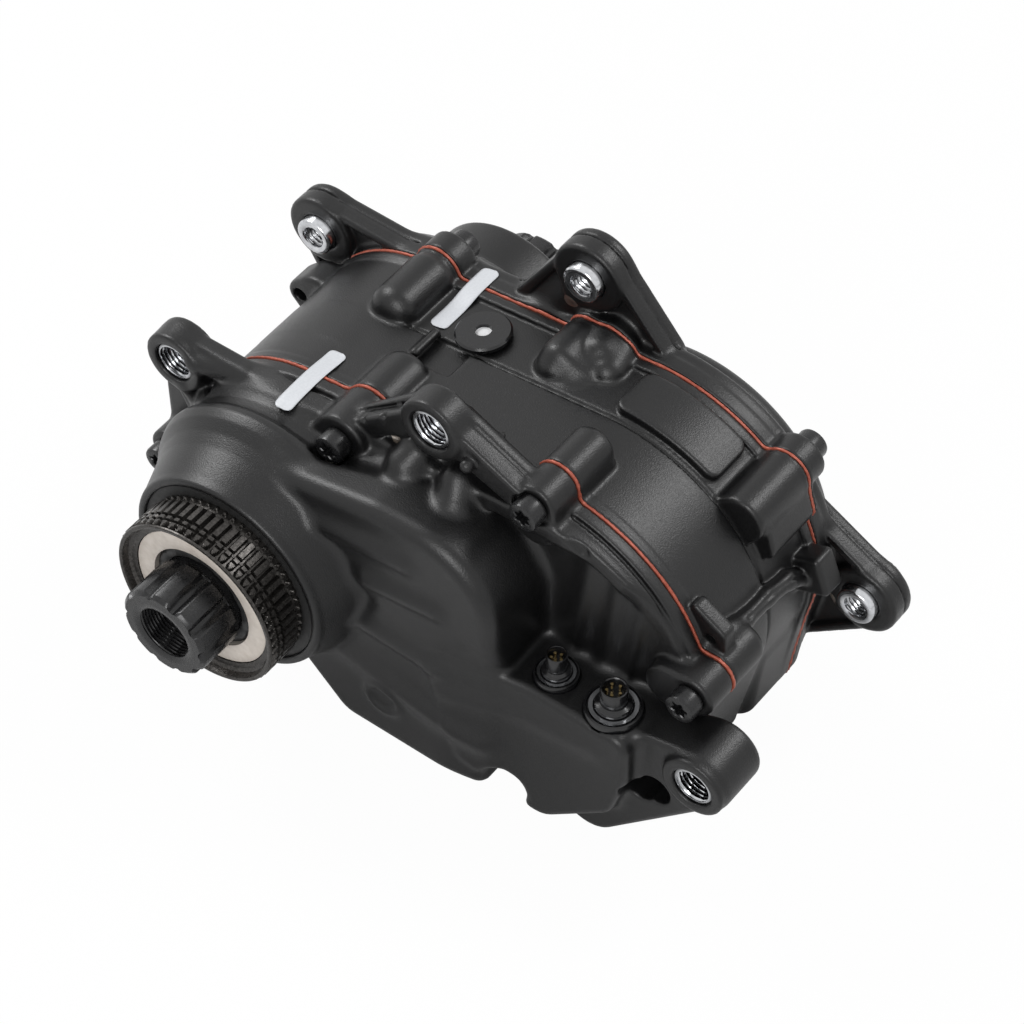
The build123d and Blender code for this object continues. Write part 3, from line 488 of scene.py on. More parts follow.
def smooth(piece, angle=35.0):
    """Shades smooth but keeps edges sharper than the angle."""
    piece.data.shade_smooth()
    piece.data.set_sharp_from_angle(angle=math.radians(angle))
    return piece


# Materials
WHITE = (1, 1, 1, 1)


def fill(tree, node, inputs):
    """Gives each named input of a node its value or its link."""
    for name, value in inputs.items():
        if isinstance(value, bpy.types.NodeSocket):
            tree.links.new(value, node.inputs[name])
        else:
            node.inputs[name].default_value = value
    return node


def add_node(tree, kind, inputs=None, **settings):
    """Adds a node with its settings and its inputs."""
    node = tree.nodes.new(kind)
    for name, value in settings.items():
        setattr(node, name, value)
    return fill(tree, node, inputs or {})


def calculated(tree, operation, first, second):
    """The value that a sum of two makes."""
    return add_node(tree, "ShaderNodeMath", {0: first, 1: second}, operation=operation).outputs[0]


def noise(tree, scale, detail=3.0):
    """A noise pattern on Object coordinates."""
    place = add_node(tree, "ShaderNodeTexCoord").outputs["Object"]
    return add_node(
        tree, "ShaderNodeTexNoise", {"Vector": place, "Scale": scale, "Detail": detail},
    ).outputs["Fac"]


def ramp(tree, pattern, low, high, span=(0.3, 0.7)):
    """Colours or greys that follow a pattern."""
    node = add_node(tree, "ShaderNodeValToRGB", {"Fac": pattern})
    for stop, position, colour in zip(node.color_ramp.elements, span, (low, high)):
        stop.position = position
        stop.color = (*colour, 1)
    return node.outputs["Color"]


def grained(name, low, high, scale, rough, metallic=0.0, grain=0.4, depth=0.00008, detail=3.0, specular=0.5):
    """A finish whose colour, roughness and surface follow a fine grain."""
    made = bpy.data.materials.new(name)
    made.use_nodes = True
    tree = made.node_tree
    shader = fill(tree, tree.nodes["Principled BSDF"], {
        "Base Color": (*low, 1), "Roughness": sum(rough) / 2,
        "Metallic": metallic, "Specular IOR Level": specular,
    })
    pattern = noise(tree, scale, detail)
    bumps = add_node(tree, "ShaderNodeBump", {"Strength": grain, "Distance": depth, "Height": pattern})
    fill(tree, shader, {
        "Base Color": ramp(tree, pattern, low, high),
        "Roughness": ramp(tree, noise(tree, scale * 0.8), *([level] * 3 for level in rough)),
        "Normal": bumps.outputs["Normal"],
    })
    return made


def tint(made, share, colour):
    """Lays a colour over a finish by a share, and returns the shader."""
    tree = made.node_tree
    shader = tree.nodes["Principled BSDF"]
    under = shader.inputs["Base Color"].links[0].from_socket
    mix = add_node(tree, "ShaderNodeMix", {0: share, 6: under, 7: (*colour, 1)}, data_type="RGBA")
    return fill(tree, shader, {"Base Color": mix.outputs[2]})


def paint_root_shade(made, colour):
    """Paints shade into the roots of threads, which are marked on the mesh: the colour is darkened there."""
    mark = add_node(made.node_tree, "ShaderNodeAttribute", attribute_name="root")
    tint(made, mark.outputs["Fac"], colour)


def bare_spots(made, places, radius, colour):
    """Small machined spots without their coat."""
    tree = made.node_tree
    here = add_node(tree, "ShaderNodeTexCoord").outputs["Object"]
    nearest = 1.0
    for place in places:
        there = tuple(value * MM for value in place)
        gap = add_node(tree, "ShaderNodeVectorMath", {0: here, 1: there}, operation="DISTANCE")
        nearest = calculated(tree, "MINIMUM", gap.outputs["Value"], nearest)
    bare = calculated(tree, "LESS_THAN", nearest, radius * MM)
    fill(tree, tint(made, bare, colour), {"Metallic": bare})


# Each finish: its name, its darker and lighter colour, the fineness of its grain, its roughness, and more
FINISHES = {
    "casting": (
        "black cast coating", (0.003, 0.003, 0.0032), (0.0065, 0.0065, 0.0068), 2600, (0.31, 0.40),
        dict(grain=0.7, depth=0.00011, detail=2.0, specular=0.4),
    ),
    "gasket": (
        "copper red gasket", (0.30, 0.060, 0.034), (0.46, 0.115, 0.070), 900, (0.34, 0.5),
        dict(metallic=0.2, grain=0.2),
    ),
    "black_steel": (
        "black oxide steel", (0.006, 0.006, 0.0065), (0.014, 0.014, 0.015), 1800, (0.22, 0.36),
        dict(metallic=0.2, grain=0.15, depth=0.00003),
    ),
    "dark_steel": (
        "gunmetal steel", (0.030, 0.028, 0.026), (0.075, 0.070, 0.066), 1500, (0.24, 0.38),
        dict(metallic=0.8, grain=0.15, depth=0.00003),
    ),
    "bright_steel": (
        "nickel plate", (0.50, 0.51, 0.53), (0.66, 0.67, 0.69), 700, (0.12, 0.2),
        dict(metallic=1.0, grain=0.05, depth=0.00002),
    ),
    "plain_steel": (
        "turned steel", (0.34, 0.32, 0.29), (0.50, 0.47, 0.43), 1200, (0.26, 0.36),
        dict(metallic=1.0, grain=0.1, depth=0.00003),
    ),
    "laminations": (
        "stacked laminations", (0.16, 0.165, 0.17), (0.26, 0.265, 0.27), 1100, (0.4, 0.55),
        dict(metallic=0.7, grain=0.3),
    ),
    "magnet": (
        "plated magnet", (0.34, 0.34, 0.36), (0.45, 0.45, 0.46), 600, (0.22, 0.32),
        dict(metallic=0.9, grain=0.1),
    ),
    "copper": (
        "enamelled copper", (0.45, 0.15, 0.06), (0.68, 0.27, 0.12), 800, (0.25, 0.38),
        dict(metallic=0.9, grain=0.3),
    ),
    "gold": (
        "gold plated contact", (0.75, 0.55, 0.24), (0.85, 0.65, 0.32), 900, (0.12, 0.2),
        dict(metallic=1.0, grain=0.05),
    ),
    "rubber": (
        "black rubber", (0.008, 0.008, 0.008), (0.018, 0.018, 0.018), 1200, (0.5, 0.65), dict(grain=0.3),
    ),
    "beige_plastic": (
        "beige dust shield", (0.58, 0.52, 0.46), (0.68, 0.62, 0.56), 500, (0.38, 0.5), dict(grain=0.1),
    ),
    "black_plastic": (
        "black connector plastic", (0.005, 0.005, 0.0055), (0.010, 0.010, 0.011), 1500, (0.16, 0.28),
        dict(grain=0.15),
    ),
    "gear_plastic": (
        "white gear plastic", (0.72, 0.70, 0.64), (0.80, 0.78, 0.72), 700, (0.35, 0.45), dict(grain=0.1),
    ),
    "board": ("circuit board", (0.01, 0.10, 0.045), (0.02, 0.14, 0.07), 900, (0.3, 0.4), dict(grain=0.15)),
    "membrane": ("vent membrane", (0.82, 0.83, 0.84), (0.92, 0.92, 0.93), 2500, (0.6, 0.75), {}),
    "label": (
        "blank white label", (0.60, 0.62, 0.65), (0.66, 0.68, 0.71), 1800, (0.35, 0.45), dict(grain=0.1),
    ),
}
BARE_METAL = (0.40, 0.36, 0.32)
BARE_SPOTS = ((30.8, 60.0, 44.6), (41.4, 119.8, 50.6), (125.6, 120.8, -9.8))
BARE_SPOT_R = 2.2
# Colour of the shade painted into the thread roots of the bright steel parts
ROOT_SHADE = (0.02, 0.02, 0.02)


def make_finishes():
    """All finishes by their slot, with the castings' bare spots and painted shade in the threads' roots."""
    made = {slot: grained(*look, **more) for slot, (*look, more) in FINISHES.items()}
    bare_spots(made["casting"], BARE_SPOTS, BARE_SPOT_R, BARE_METAL)
    # Painted shade: the roots of the bright threads are darkened in colour
    paint_root_shade(made["bright_steel"], ROOT_SHADE)
    return made


# Housings: where their forms begin and end along Y, and their outlines in X and Z
FRONT_Y, BACK_Y = 20.0, 160.0
CASE_FRONT, CASE_BACK = 63.4, 122.0
WAIST_FRONT = 80.0
COVER_ROOT = 68.0
FAR_ROOT, FAR_BOSS_ROOT = 117.0, 118.0
SEAL_GAP, SEAL_PROUD = 0.12, 0.28
GEAR_OUTLINE = belt(
    (8.0, 7.0, 27.5), (42.0, 19.0, 22.8), (54.0, 18.5, 23.8), (70.0, -41.5, 8.5), (31.0, -41.0, 9.0),
)
LEDGE_OUTLINE = belt(
    (62.0, -5.0, 5.6), (112.0, -4.4, 5.0), (108.0, -14.0, 9.0), (104.0, -27.0, 9.0),
    (88.0, -41.0, 9.0), (70.0, -36.0, 5.0),
)

# Radius and station of each corner of the turned forms round the crank axis
DRIVE_COLLAR = (
    (0, 25.6), (30.1, 25.6), (30.6, 26.2), (31.0, 28.0), (34.2, 36.5), (36.0, 40.0), (38.3, 43.0), (39.4, 45.6),
    (39.2, 47.6), (37.2, 50.0), (37.4, 53.0), (38.6, 56.0), (38.6, 60.0), (38.6, COVER_ROOT), (0, COVER_ROOT),
)
FAR_COLLAR = (
    (0, 116.0), (38.6, 116.0), (38.6, 126.0), (36.6, 129.4), (31.0, 132.6), (27.0, 135.0), (26.0, 138.0),
    (26.0, 150.0), (25.0, 151.0), (0, 151.0),
)
CARRIER_BORE = (
    (0, 20), (28.2, 20), (28.2, 29.6), (27.05, 29.6), (27.05, 37.2), (24.6, 37.2), (24.6, 38.6),
    (33.6, 43.2), (35.0, 48.0), (35.0, 72.0), (0, 72.0),
)

# Soft ridges on the gear bulge: start and end in X and Z, width and lift
GEAR_RIDGES = (
    ((22.0, 25.5), (50.0, 29.0), 3.6, 1.9),
    ((38.0, 14.5), (60.0, 17.5), 3.4, 2.1),
    ((34.0, -4.0), (60.0, -5.0), 3.6, 1.9),
    ((24.0, -19.5), (72.0, -29.0), 4.6, 1.6),
    ((36.0, 5.0), (33.0, 1.0), 4.0, -1.4),
    ((62.0, -13.6), (106.0, -8.0), 4.0, 0.8),
)
ROUND_PAD = (41.9, -31.9)
ROUND_PAD_R = 5.2

# Soft upright ridges on the back wall of the pocket: place along X, width and lift
POCKET_RIDGES = ((90.0, 4.2, 1.5), (99.0, 3.2, 1.2), (107.0, 3.4, 1.4))

# How far forward the pocket's rim reaches at angles round the motor's axis
RIM_ANGLES = (-90.0, 0.0, 20.0, 34.0, 42.0, 48.0, 54.0, 60.0, 68.0, 78.0, 90.0, 180.0)
RIM_FRONTS = (62.5, 63.2, 63.2, 62.9, 62.0, 60.2, 58.6, 58.2, 58.0, 56.2, 55.4, 57.0)
LOW_RIM_FRONT = 57.0


def eased(value):
    """A soft step from 0 to 1."""
    value = np.clip(value, 0, 1)
    return value * value * (3 - 2 * value)


def away_from(x, z, start, end):
    """Distance in X and Z from the line between two places."""
    run = np.subtract(end, start)
    share = np.clip(((x - start[0]) * run[0] + (z - start[1]) * run[1]) / (run @ run), 0, 1)
    return np.hypot(x - start[0] - share * run[0], z - start[1] - share * run[1])


def gear_front(x, z):
    """How far forward the gear bulge and the ledge block reach, with their soft ridges."""
    front = 37.4 + 4.4 * eased((x - 58.0) / 30.0) * eased((14.0 - z) / 14.0)
    for start, end, width, lift in GEAR_RIDGES:
        front = front - lift * np.exp(-(away_from(x, z, start, end) / width) ** 2)
    from_edge = np.hypot(x - ROUND_PAD[0], z - ROUND_PAD[1]) - ROUND_PAD_R
    return front - np.exp(-(from_edge / 1.5) ** 2)


def pocket_back(x, z):
    """The sculpted back wall of the connector pocket, with soft upright ridges."""
    back = 61.2 + 1.4 * eased((x - 100.0) / 12.0)
    for place, width, lift in POCKET_RIDGES:
        back = back - lift * np.exp(-((x - place - 0.12 * (z - 20)) / width) ** 2)
    return back


def rim_front(x, z):
    """How far forward the rim of the connector pocket reaches round the motor's axis."""
    angle = np.degrees(np.arctan2(z - ROTOR[1], x - ROTOR[0]))
    return np.where(angle < RIM_ANGLES[0], LOW_RIM_FRONT, np.interp(angle, RIM_ANGLES, RIM_FRONTS))


def panel(radius, angles, span, proud, corner=3.2, edge=0.6):
    """A raised panel wrapped on the motor drum."""
    middle, half = sum(angles) / 2, (angles[1] - angles[0]) / 2
    most = radius + proud

    def distance(x, y, z):
        across, up = x - ROTOR[0], z - ROTOR[1]
        aside = np.radians(np.abs(np.degrees(np.arctan2(up, across)) - middle) - half) * radius
        face = rounded(aside, within(y, *span), corner)
        return rounded(face, np.abs(np.hypot(across, up) - radius) - proud, edge)

    return ((ROTOR[0] - most, span[0], 0), (ROTOR[0] + most, span[1], most)), distance


def boss(screw, y0, y1, edge=1.0):
    """A screw boss that leans on the nearer drum."""
    x, z, _, radius, _ = screw
    drum = CRANK if abs(x) < 40 else ROTOR
    share = 7 / math.hypot(drum[0] - x, drum[1] - z)
    foot = (x + share * (drum[0] - x), z + share * (drum[1] - z), radius + 0.8)
    return slab(belt((x, z, radius), foot), y0, y1, edge)


def add_case(skin):
    """The body that the three shells share, with its waist, a step and a band along each joint."""
    case = belt(*CASE)
    skin.add(slab(case, CASE_FRONT, STEP_Y, 0.5), 0.3)
    skin.add(slab(belt(*CASE, grow=-WAIST), WAIST_FRONT, CASE_BACK, 0.5), 0.3)
    skin.add(post(CRANK, CRANK_DRUM_R, WAIST_FRONT, 114.0, 0.8), 0.3)
    skin.cut(groove(case, WAIST + 0.8, STEP_Y + 0.3, STEP_Y + 1.6, 6.0), 0.3)
    for y0, y1 in ((63.6, 71.4), (113.6, CASE_BACK)):
        skin.add(slab(belt(*CASE, grow=BAND), y0, y1, 0.3), 0.3)
    skin.add(slab(belt((112.0, -20.0, 8.0), (109.0, -40.0, 9.0)), 99.0, CASE_BACK, 2.0), 2.0)


def add_gear_case(skin):
    """The crank collar, the gear bulge, the ledge block, and the pocket with its rim."""
    case = belt(*CASE)
    skin.add(lathed(CRANK, DRIVE_COLLAR), 1.0)
    skin.add(fronted(GEAR_OUTLINE, gear_front, COVER_ROOT, 4.4), 2.5)
    skin.add(fronted(LEDGE_OUTLINE, gear_front, COVER_ROOT, 2.2), 2.5)
    skin.add(fronted(belt(*CASE, grow=-2.0), pocket_back, COVER_ROOT, 0.5), 4.0)
    skin.add(rim(case, 5.2, rim_front, COVER_ROOT, 1.3), 2.2)
    skin.cut(groove(case, 0.9, 62.4, 63.5), 0.3)
    skin.cut(limb((87.5, 55.8, 47.6), (91.5, 57.0, 43.6), 1.7), 0.8)


def add_drive_ears(skin):
    """The three ears of the drive side, with their webs, arms and lobes."""
    rear, top, front = (EARS[name] for name in ("rear", "top", "front"))
    # The rear ear's web, foot and ribs, and the dimple between them
    skin.add(slab(belt((*rear[:2], 8.4), (-10.0, 9.0, 27.5)), 58.6, 63.6, 1.2), 3.0)
    skin.add(slab(belt((*rear[:2], 8.8), (-43.6, -6.0, 6.0), (-20.0, 0.0, 10.0)), 61.2, 64.2, 0.6), 1.0)
    skin.add(limb((-35.0, 58.2, 31.0), (-20.0, 60.0, 33.5), 3.4, 2.6), 1.6)
    skin.add(limb((-39.5, 58.6, 20.0), (-35.5, 60.0, 10.0), 3.0, 2.0), 1.6)
    skin.cut(limb((-31.5, 55.0, 26.0), (-30.5, 58.4, 24.0), 1.8), 1.2)
    # The top ear's web and its two arms
    skin.add(slab(belt((*top[:2], 7.6), (19.0, 38.0, 6.0), (75.0, 49.0, 6.0)), 60.0, 62.8, 0.6), 1.2)
    skin.add(slab(belt((50.5, 61.6, 4.6), (74.6, 51.6, 3.6)), 54.6, 64.0, 0.8), 1.0)
    skin.add(slab(belt((41.5, 59.4, 3.8), (18.5, 40.0, 3.2)), 56.6, 64.0, 0.8), 1.4)
    # Lines along the arms, notches in the left one, and the valley below it
    skin.cut(limb((56.5, 59.4, 64.4), (73.0, 59.8, 56.3), 0.5), 0.2)
    skin.cut(limb((19.0, 60.2, 45.4), (34.0, 60.2, 57.8), 0.5), 0.2)
    skin.cut(block((18.2, 57.2, 44.0), (2.8, 2.6, 2.6), 0.3, 40.0), 0.2)
    skin.cut(block((22.4, 57.0, 47.4), (1.6, 1.6, 1.6), 0.2, 40.0), 0.2)
    skin.cut(block((28.8, 57.0, 53.2), (2.2, 1.8, 2.0), 0.3, 40.0), 0.2)
    skin.cut(limb((16.0, 51.5, 39.4), (36.0, 53.0, 45.8), 5.0), 1.5)
    # Two lobes under the top ear, a hollow between them, and two studs
    skin.add(limb((37.6, 55.6, 41.6), (38.8, 58.4, 44.4), 5.4, 5.0), 3.2)
    skin.add(limb((54.6, 54.0, 40.8), (53.0, 57.4, 44.6), 5.0, 5.0), 3.2)
    skin.cut(limb((46.6, 56.5, 47.0), (46.6, 58.6, 51.5), 2.4), 1.6)
    skin.add(limb((60.6, 60.0, 60.0), (60.6, 64.4, 60.0), 1.3), 0.6)
    skin.add(limb((58.6, 53.2, 57.6), (58.6, 57.0, 57.6), 1.9), 0.5)
    # The front ear's web and the opening in it
    skin.add(slab(belt((*front[:2], EAR_R), (118.0, -5.4, 6.0), (101.5, -40.0, 9.8)), 47.2, 62.0, 1.6), 3.5)
    skin.cut(limb((118.2, 44.0, -20.6), (118.2, 57.0, -20.6), 4.0), 0.6)
    skin.cut(limb((122.8, 44.0, -18.2), (122.0, 57.0, -18.2), 4.6), 0.6)
    for name, ear in EARS.items():
        skin.add(post(ear, EAR_R, ear[2], EAR_BACKS[name], 0.7), 1.6)


def add_bosses(skin):
    """The screw bosses, which run on blind from both joints into the middle housing."""
    for screw in DRIVE_SCREWS:
        _, _, seat, radius, blind = screw
        skin.add(boss(screw, seat, COVER_ROOT), 1.6)
        skin.add(boss(screw, 66.0, blind, radius * 0.45), 1.0)
    for screw in (*FAR_SCREWS, FAR_LOBE):
        x, z, seat, radius, blind = screw
        flat_front = x > 105 and z > 0
        skin.add(boss(screw, blind, FAR_BOSS_ROOT, 1.2 if flat_front else radius * 0.75), 1.4)
        skin.add(boss(screw, 116.0, seat), 1.4)
    # The lobes of the double boss
    skin.add(limb((48.6, 104.0, 43.0), (49.8, 113.0, 45.0), 5.8, 5.2), 1.2)
    skin.add(limb((60.8, 110.0, 44.4), (59.6, 116.0, 45.4), 5.4, 5.6), 1.2)
    skin.add(limb((54.6, 104.5, 40.6), (54.6, 117.0, 45.0), 5.8, 6.2), 2.5)
    skin.add(limb((54.2, 101.5, 40.4), (54.4, 106.0, 43.4), 3.4, 5.0), 3.0)
    # The foot of the front boss, and a rib beside the drive side's second screw
    skin.add(slab(belt((113.0, 32.0, 6.0), (117.6, 25.0, 3.6), (106.0, 26.0, 6.0)), 98.6, 119.0, 1.0), 1.2)
    skin.add(limb((77.5, 62.0, 54.6), (78.5, 74.0, 53.6), 1.6), 1.2)


def add_middle_details(skin):
    """What stands on the middle housing between its two joints."""
    # The bare raised panel, and the vent's recess with its rib
    skin.add(panel(MOTOR_DRUM_R - WAIST, (57.0, 96.0), (97.8, 113.2), 2.7), 0.4)
    skin.cut(block((20.6, 91.2, 43.2), (13.4, 11.6, 8.4), 0.6, 6.95), 0.3)
    skin.add(limb((14.6, 88.0, 40.6), (14.6, 96.4, 40.6), 1.4), 0.8)
    # The tab at the front of the drive side joint, with its gusset and hole
    tab = belt((117.2, 28.4, 1.5), (125.2, 23.6, 1.6), (126.0, 6.0, 1.6), (112.0, 12.0, 4.0))
    skin.add(slab(tab, 69.6, 74.2, 0.6), 0.8)
    skin.add(limb((120.6, 76.0, 14.0), (121.4, 84.0, 4.5), 3.6, 2.4), 1.5)
    skin.cut(post((122.2, 20.4), 1.6, 60.0, 72.6, 0.2), 0.3)
    # The grooved rib from the tab back to the block at the far joint
    arc = (
        (121.6, 76.0, 17.0), (122.8, 84.0, 14.6), (122.8, 94.0, 14.2),
        (123.2, 103.0, 12.4), (124.4, 111.0, 8.0),
    )
    for start, end in zip(arc, arc[1:]):
        skin.add(limb(start, end, 2.5), 1.4)
    channel = [(x + 1.6, y, z + 2.0) for x, y, z in arc[1:]]
    for start, end in zip(channel, channel[1:]):
        skin.cut(limb(start, end, 0.5), 0.2)
    skin.add(block((124.8, 112.4, 9.6), (12.0, 7.6, 12.0), 1.3, 22.0), 1.0)
    # The rear lug with its hole, and two short ribs
    skin.add(slab(belt((-33.0, 14.0, 9.0), (-39.5, 14.0, 4.4)), 105.2, 114.8, 1.4), 1.4)
    skin.cut(post((-39.5, 14.0), 2.0, 100.0, 118.0, 0.2), 0.5)
    skin.add(limb((-38.0, 104.0, 3.0), (-38.0, 112.0, 3.0), 2.4), 1.2)
    skin.add(limb((-40.0, 76.0, 4.0), (-40.0, 84.0, 4.0), 2.2), 1.2)


FAR_WEBS = {
    "rear": ((-10.0, 9.0, 27.5),),
    "top": ((27.0, 36.5, 6.5), (64.0, 42.0, 9.0)),
    "front": ((113.0, 8.0, 9.0), (106.0, -30.0, 9.0)),
}


def add_far_cover(skin):
    """The non-drive cover: its collar, the motor bulge with low ribs, and three ears on rimmed webs."""
    skin.add(slab(belt(*CASE), FAR_ROOT, 126.5, 2.0), 0.6)
    skin.add(lathed(CRANK, FAR_COLLAR), 2.5)
    plateau = belt((*ROTOR, 40.0), (14.0, 10.0, 26.0), (32.0, -37.0, 8.0), (90.0, -36.0, 8.0))
    skin.add(slab(plateau, FAR_ROOT, 130.0, 3.0), 3.0)
    skin.add(post(ROTOR, 42.0, FAR_ROOT, 134.0, 4.5), 2.0)
    for degrees in range(8, 368, 45):
        across, up = math.cos(math.radians(degrees)), math.sin(math.radians(degrees))
        start, end = (
            (ROTOR[0] + radius * across, y, ROTOR[1] + radius * up) for radius, y in ((16, 134.0), (33, 133.2))
        )
        skin.add(limb(start, end, 1.0), 2.0)
    for name, anchors in FAR_WEBS.items():
        x, z, _, bushing = EARS[name]
        face = bushing + BUSHING_PROUD
        back = face + FAR_EAR_DEPTH
        web_front = max(face + 2.6, FAR_JOINT[1] + 0.3)
        edge_front = max(face + 0.8, FAR_JOINT[1] + 0.1)
        web = belt((x, z, FAR_EAR_R - 1.0), *anchors)
        skin.add(slab(web, web_front, back, 0.8), 2.0)
        skin.add(rim(web, 2.6, lambda x, z: edge_front, back, 0.6), 0.6)
        skin.add(post((x, z), FAR_EAR_R, face, back, 1.2), 1.0)
        skin.add(post((x, z), FAR_NECK_R, back - 1.0, back + FAR_NECK, 0.6), 0.8)
        skin.cut(groove(web, 0.4, back - 3.4, back - 2.8), 0.2)
    # A dowel's bump at the rear, and the fillet from the top ear down to the collar
    skin.add(limb((-32.0, 121.5, 28.4), (-32.0, 126.0, 28.4), 2.0), 0.5)
    skin.add(limb((27.0, 123.4, 34.0), (41.0, 124.4, 51.0), 5.2, 4.4), 4.0)


def cut_fits(skin):
    """Bores for the inserts, bushings, screws and connectors."""
    for x, z, face, bushing in EARS.values():
        skin.cut(post((x, z), 5.9, face - 5, face + 2, 0.1), 0.6)
        skin.cut(post((x, z), 7.0, face + 1.2, face + INSERT_DEPTH, 0.1), 0.1)
        skin.cut(post((x, z), 6.2, face + 5, 68.5, 0.1), 0.1)
        skin.cut(post((x, z), 5.65, bushing, 150, 0.1), 0.4)
    for screw in DRIVE_SCREWS:
        skin.cut(post(screw, SCREW_HEAD_R + 0.8, screw[2] - SCREW_HEAD - 1.4, screw[2], 0.3), 0.5)
    for screw in FAR_SCREWS:
        skin.cut(post(screw, SCREW_HEAD_R + 0.7, screw[2], BACK_Y, 0.3), 0.5)
    skin.cut(post((78.6, -45.5), 6.5, 30.0, 55.0, 1.5), 2.5)
    for x, y, size in PORTS.values():
        skin.cut(limb((x, y, LEDGE_Z - 0.6), (x, y, LEDGE_Z + 6.0), 7.6 * size), 0.4)


def hollow_out(skin):
    """The chambers inside, which hold the gears, the motor and the board."""
    inner = belt(*CASE, grow=-RIM_WALL)
    skin.cut(lathed(CRANK, CARRIER_BORE), 0.3)
    gears = belt((8.0, 7.0, 24.5), (54.0, 18.5, 20.6), (66.0, -38.5, 5.5), (31.0, -41.0, 6.0))
    skin.cut(slab(gears, 41.0, 72.0, 1.0), 0.3)
    ledge = belt(
        (84.0, -5.4, 2.0), (110.0, -5.4, 2.0), (106.0, -14.0, 6.0), (102.0, -26.0, 6.0), (91.0, -34.0, 4.0),
    )
    skin.cut(slab(ledge, 46.0, 72.0, 0.6), 0.3)
    skin.cut(slab(inner, 65.4, 72.0, 0.4), 0.3)
    skin.cut(post(ROTOR, 43.95, 75.0, 117.3, 0.2), 0.2)
    skin.cut(post(CRANK, 34.8, 75.0, 121.0, 0.2), 0.2)
    skin.cut(slab(inner, 116.8, 121.0, 0.4), 0.3)
    skin.cut(post(ROTOR, 38.0, 117.0, 131.0, 0.3), 0.2)
    for radius, y0, y1, blend in (
        (13.9, 60.0, 80.0, 0.1), (17.0, 110.0, 136.5, 0.1),
        (19.05, 136.0, 145.0, 0.1), (18.0, 144.0, BACK_Y, 0.3),
    ):
        skin.cut(post(CRANK, radius, y0, y1, 0.1), blend)


def make_housings():
    """The three castings and two gaskets, all cut from one skin, and the skin without its hollows."""
    skin = Casting((-58, 23, -54), (150, 155, 76))
    add_case(skin)
    add_gear_case(skin)
    add_drive_ears(skin)
    add_bosses(skin)
    add_middle_details(skin)
    add_far_cover(skin)
    outer = skin.values.copy()
    cut_fits(skin)
    hollow_out(skin)
    skin.keep_inside(cad_box)
    castings = (
        ("drive_side_cover", FRONT_Y, DRIVE_JOINT[0], ""),
        ("centre_housing", DRIVE_JOINT[1], FAR_JOINT[0], "left out"),
        ("non_drive_cover", FAR_JOINT[1], BACK_Y, "kept"),
    )
    made = {}
    for node, y0, y1, rear_ear in castings:
        made[node] = skin.between(y0, y1, rear_ear).mesh(node + "_casting")
    for node, (y0, y1), rear_ear in (
        ("drive_side_gasket", DRIVE_JOINT, ""), ("non_drive_gasket", FAR_JOINT, "left out"),
    ):
        seal = skin.between(y0 + SEAL_GAP, y1 - SEAL_GAP, rear_ear, edge=0.15, grow=SEAL_PROUD)
        seal.keep_inside(cad_box)
        made[node] = seal.mesh(node + "_seal", most=60_000)
    skin.values = outer
    return made, skin


# Shaft parts
def make_spindle():
    """The hollow crank spindle, with ten broad splines and an inner thread at both ends."""
    splines, samples = 10, 16
    tip, root, length = 13.7, 11.9, SPINDLE_LENGTH
    thread_r, depth, pitch, reach = 8.0, 0.75, 1.0, 16.0
    angles = even(splines * samples)
    phase = (angles * splines / (2 * math.pi)) % 1.0
    shape = root + (tip - root) * np.clip((0.5 - np.abs(phase - 0.5)) * 9.0 - 0.9, 0, 1)
    front = [
        (10.2, 0.0), (np.minimum(shape, 12.6), 0.0), (shape - 0.15, 0.9), (shape, 1.4),
        (shape, 13.4), (np.maximum(shape - 0.8, 12.1), 14.0), (12.5, 14.2),
    ]
    middle = [
        (12.5, 60.0), (11.0, 62.0), (11.0, 73.0), (12.5, 76.0),
        (12.5, 133.6), (14.0, 134.0), (14.0, length - 14.2),
    ]
    back = [(radius, length - station) for radius, station in front[::-1]]
    rings = front + middle + back + [(9.0, length)]
    rings += thread(thread_r, depth, pitch, length - 0.6, length - reach, angles)
    rings += [(thread_r, length - reach - 1), (thread_r, reach + 1)]
    rings += thread(thread_r, depth, pitch, reach, 0.6, angles) + [(9.0, 0.0)]
    return smooth(wrapped("crank_spindle_steel", rings, angles))


def make_carrier():
    """The toothed carrier: a lip, pointed front teeth, a snap ring groove, long teeth and a row of studs."""
    teeth, samples = 56, 12
    root, tip, neck, groove_r = 24.4, 25.95, 24.6, 25.1
    angles = even(teeth * samples)
    from_crest = np.abs((angles * teeth / (2 * math.pi)) % 1.0 - 0.5)

    def toothed(most, half_width, flank=0.1):
        return root + (most - root) * np.clip((half_width + flank - from_crest) / flank, 0, 1)

    rings = [
        (21.7, 15.3), (23.2, 15.1), (24.0, 14.4), (24.3, 13.0), (24.5, 12.55), (24.8, 12.42), (25.4, 12.42),
        (25.65, 12.6), (25.75, 13.0),
    ]
    for station in np.linspace(13.1, 14.9, 8):
        rings.append((toothed(tip, 0.04 + 0.26 * (station - 13.1) / 1.8), station))
    rings += [(toothed(most, 0.3), station) for most, station in (
        (tip, 15.3), (groove_r, 15.45), (groove_r, 16.0), (tip, 16.15), (tip, 17.2),
    )]
    rings += [(neck, 17.3), (neck, 18.0)]
    rings += [(toothed(tip, 0.27), 18.1), (toothed(tip, 0.27), 23.4), (toothed(24.8, 0.2), 24.0)]
    rings += [(24.5, 24.3), (neck, 24.9)]
    for station, lift in ((25.1, 0.5), (25.4, 0.9), (25.8, 0.9), (26.1, 0.5)):
        rings.append((neck + lift * np.clip(1 - (from_crest / 0.24) ** 2, 0, 1), station))
    rings += [(neck, 26.3), (24.5, 29.8), (19.0, 29.8), (19.0, 58.0), (16.0, 58.0), (16.0, 17.4), (21.7, 17.4)]
    return smooth(wrapped("chainring_carrier_steel", rings, angles), 28)


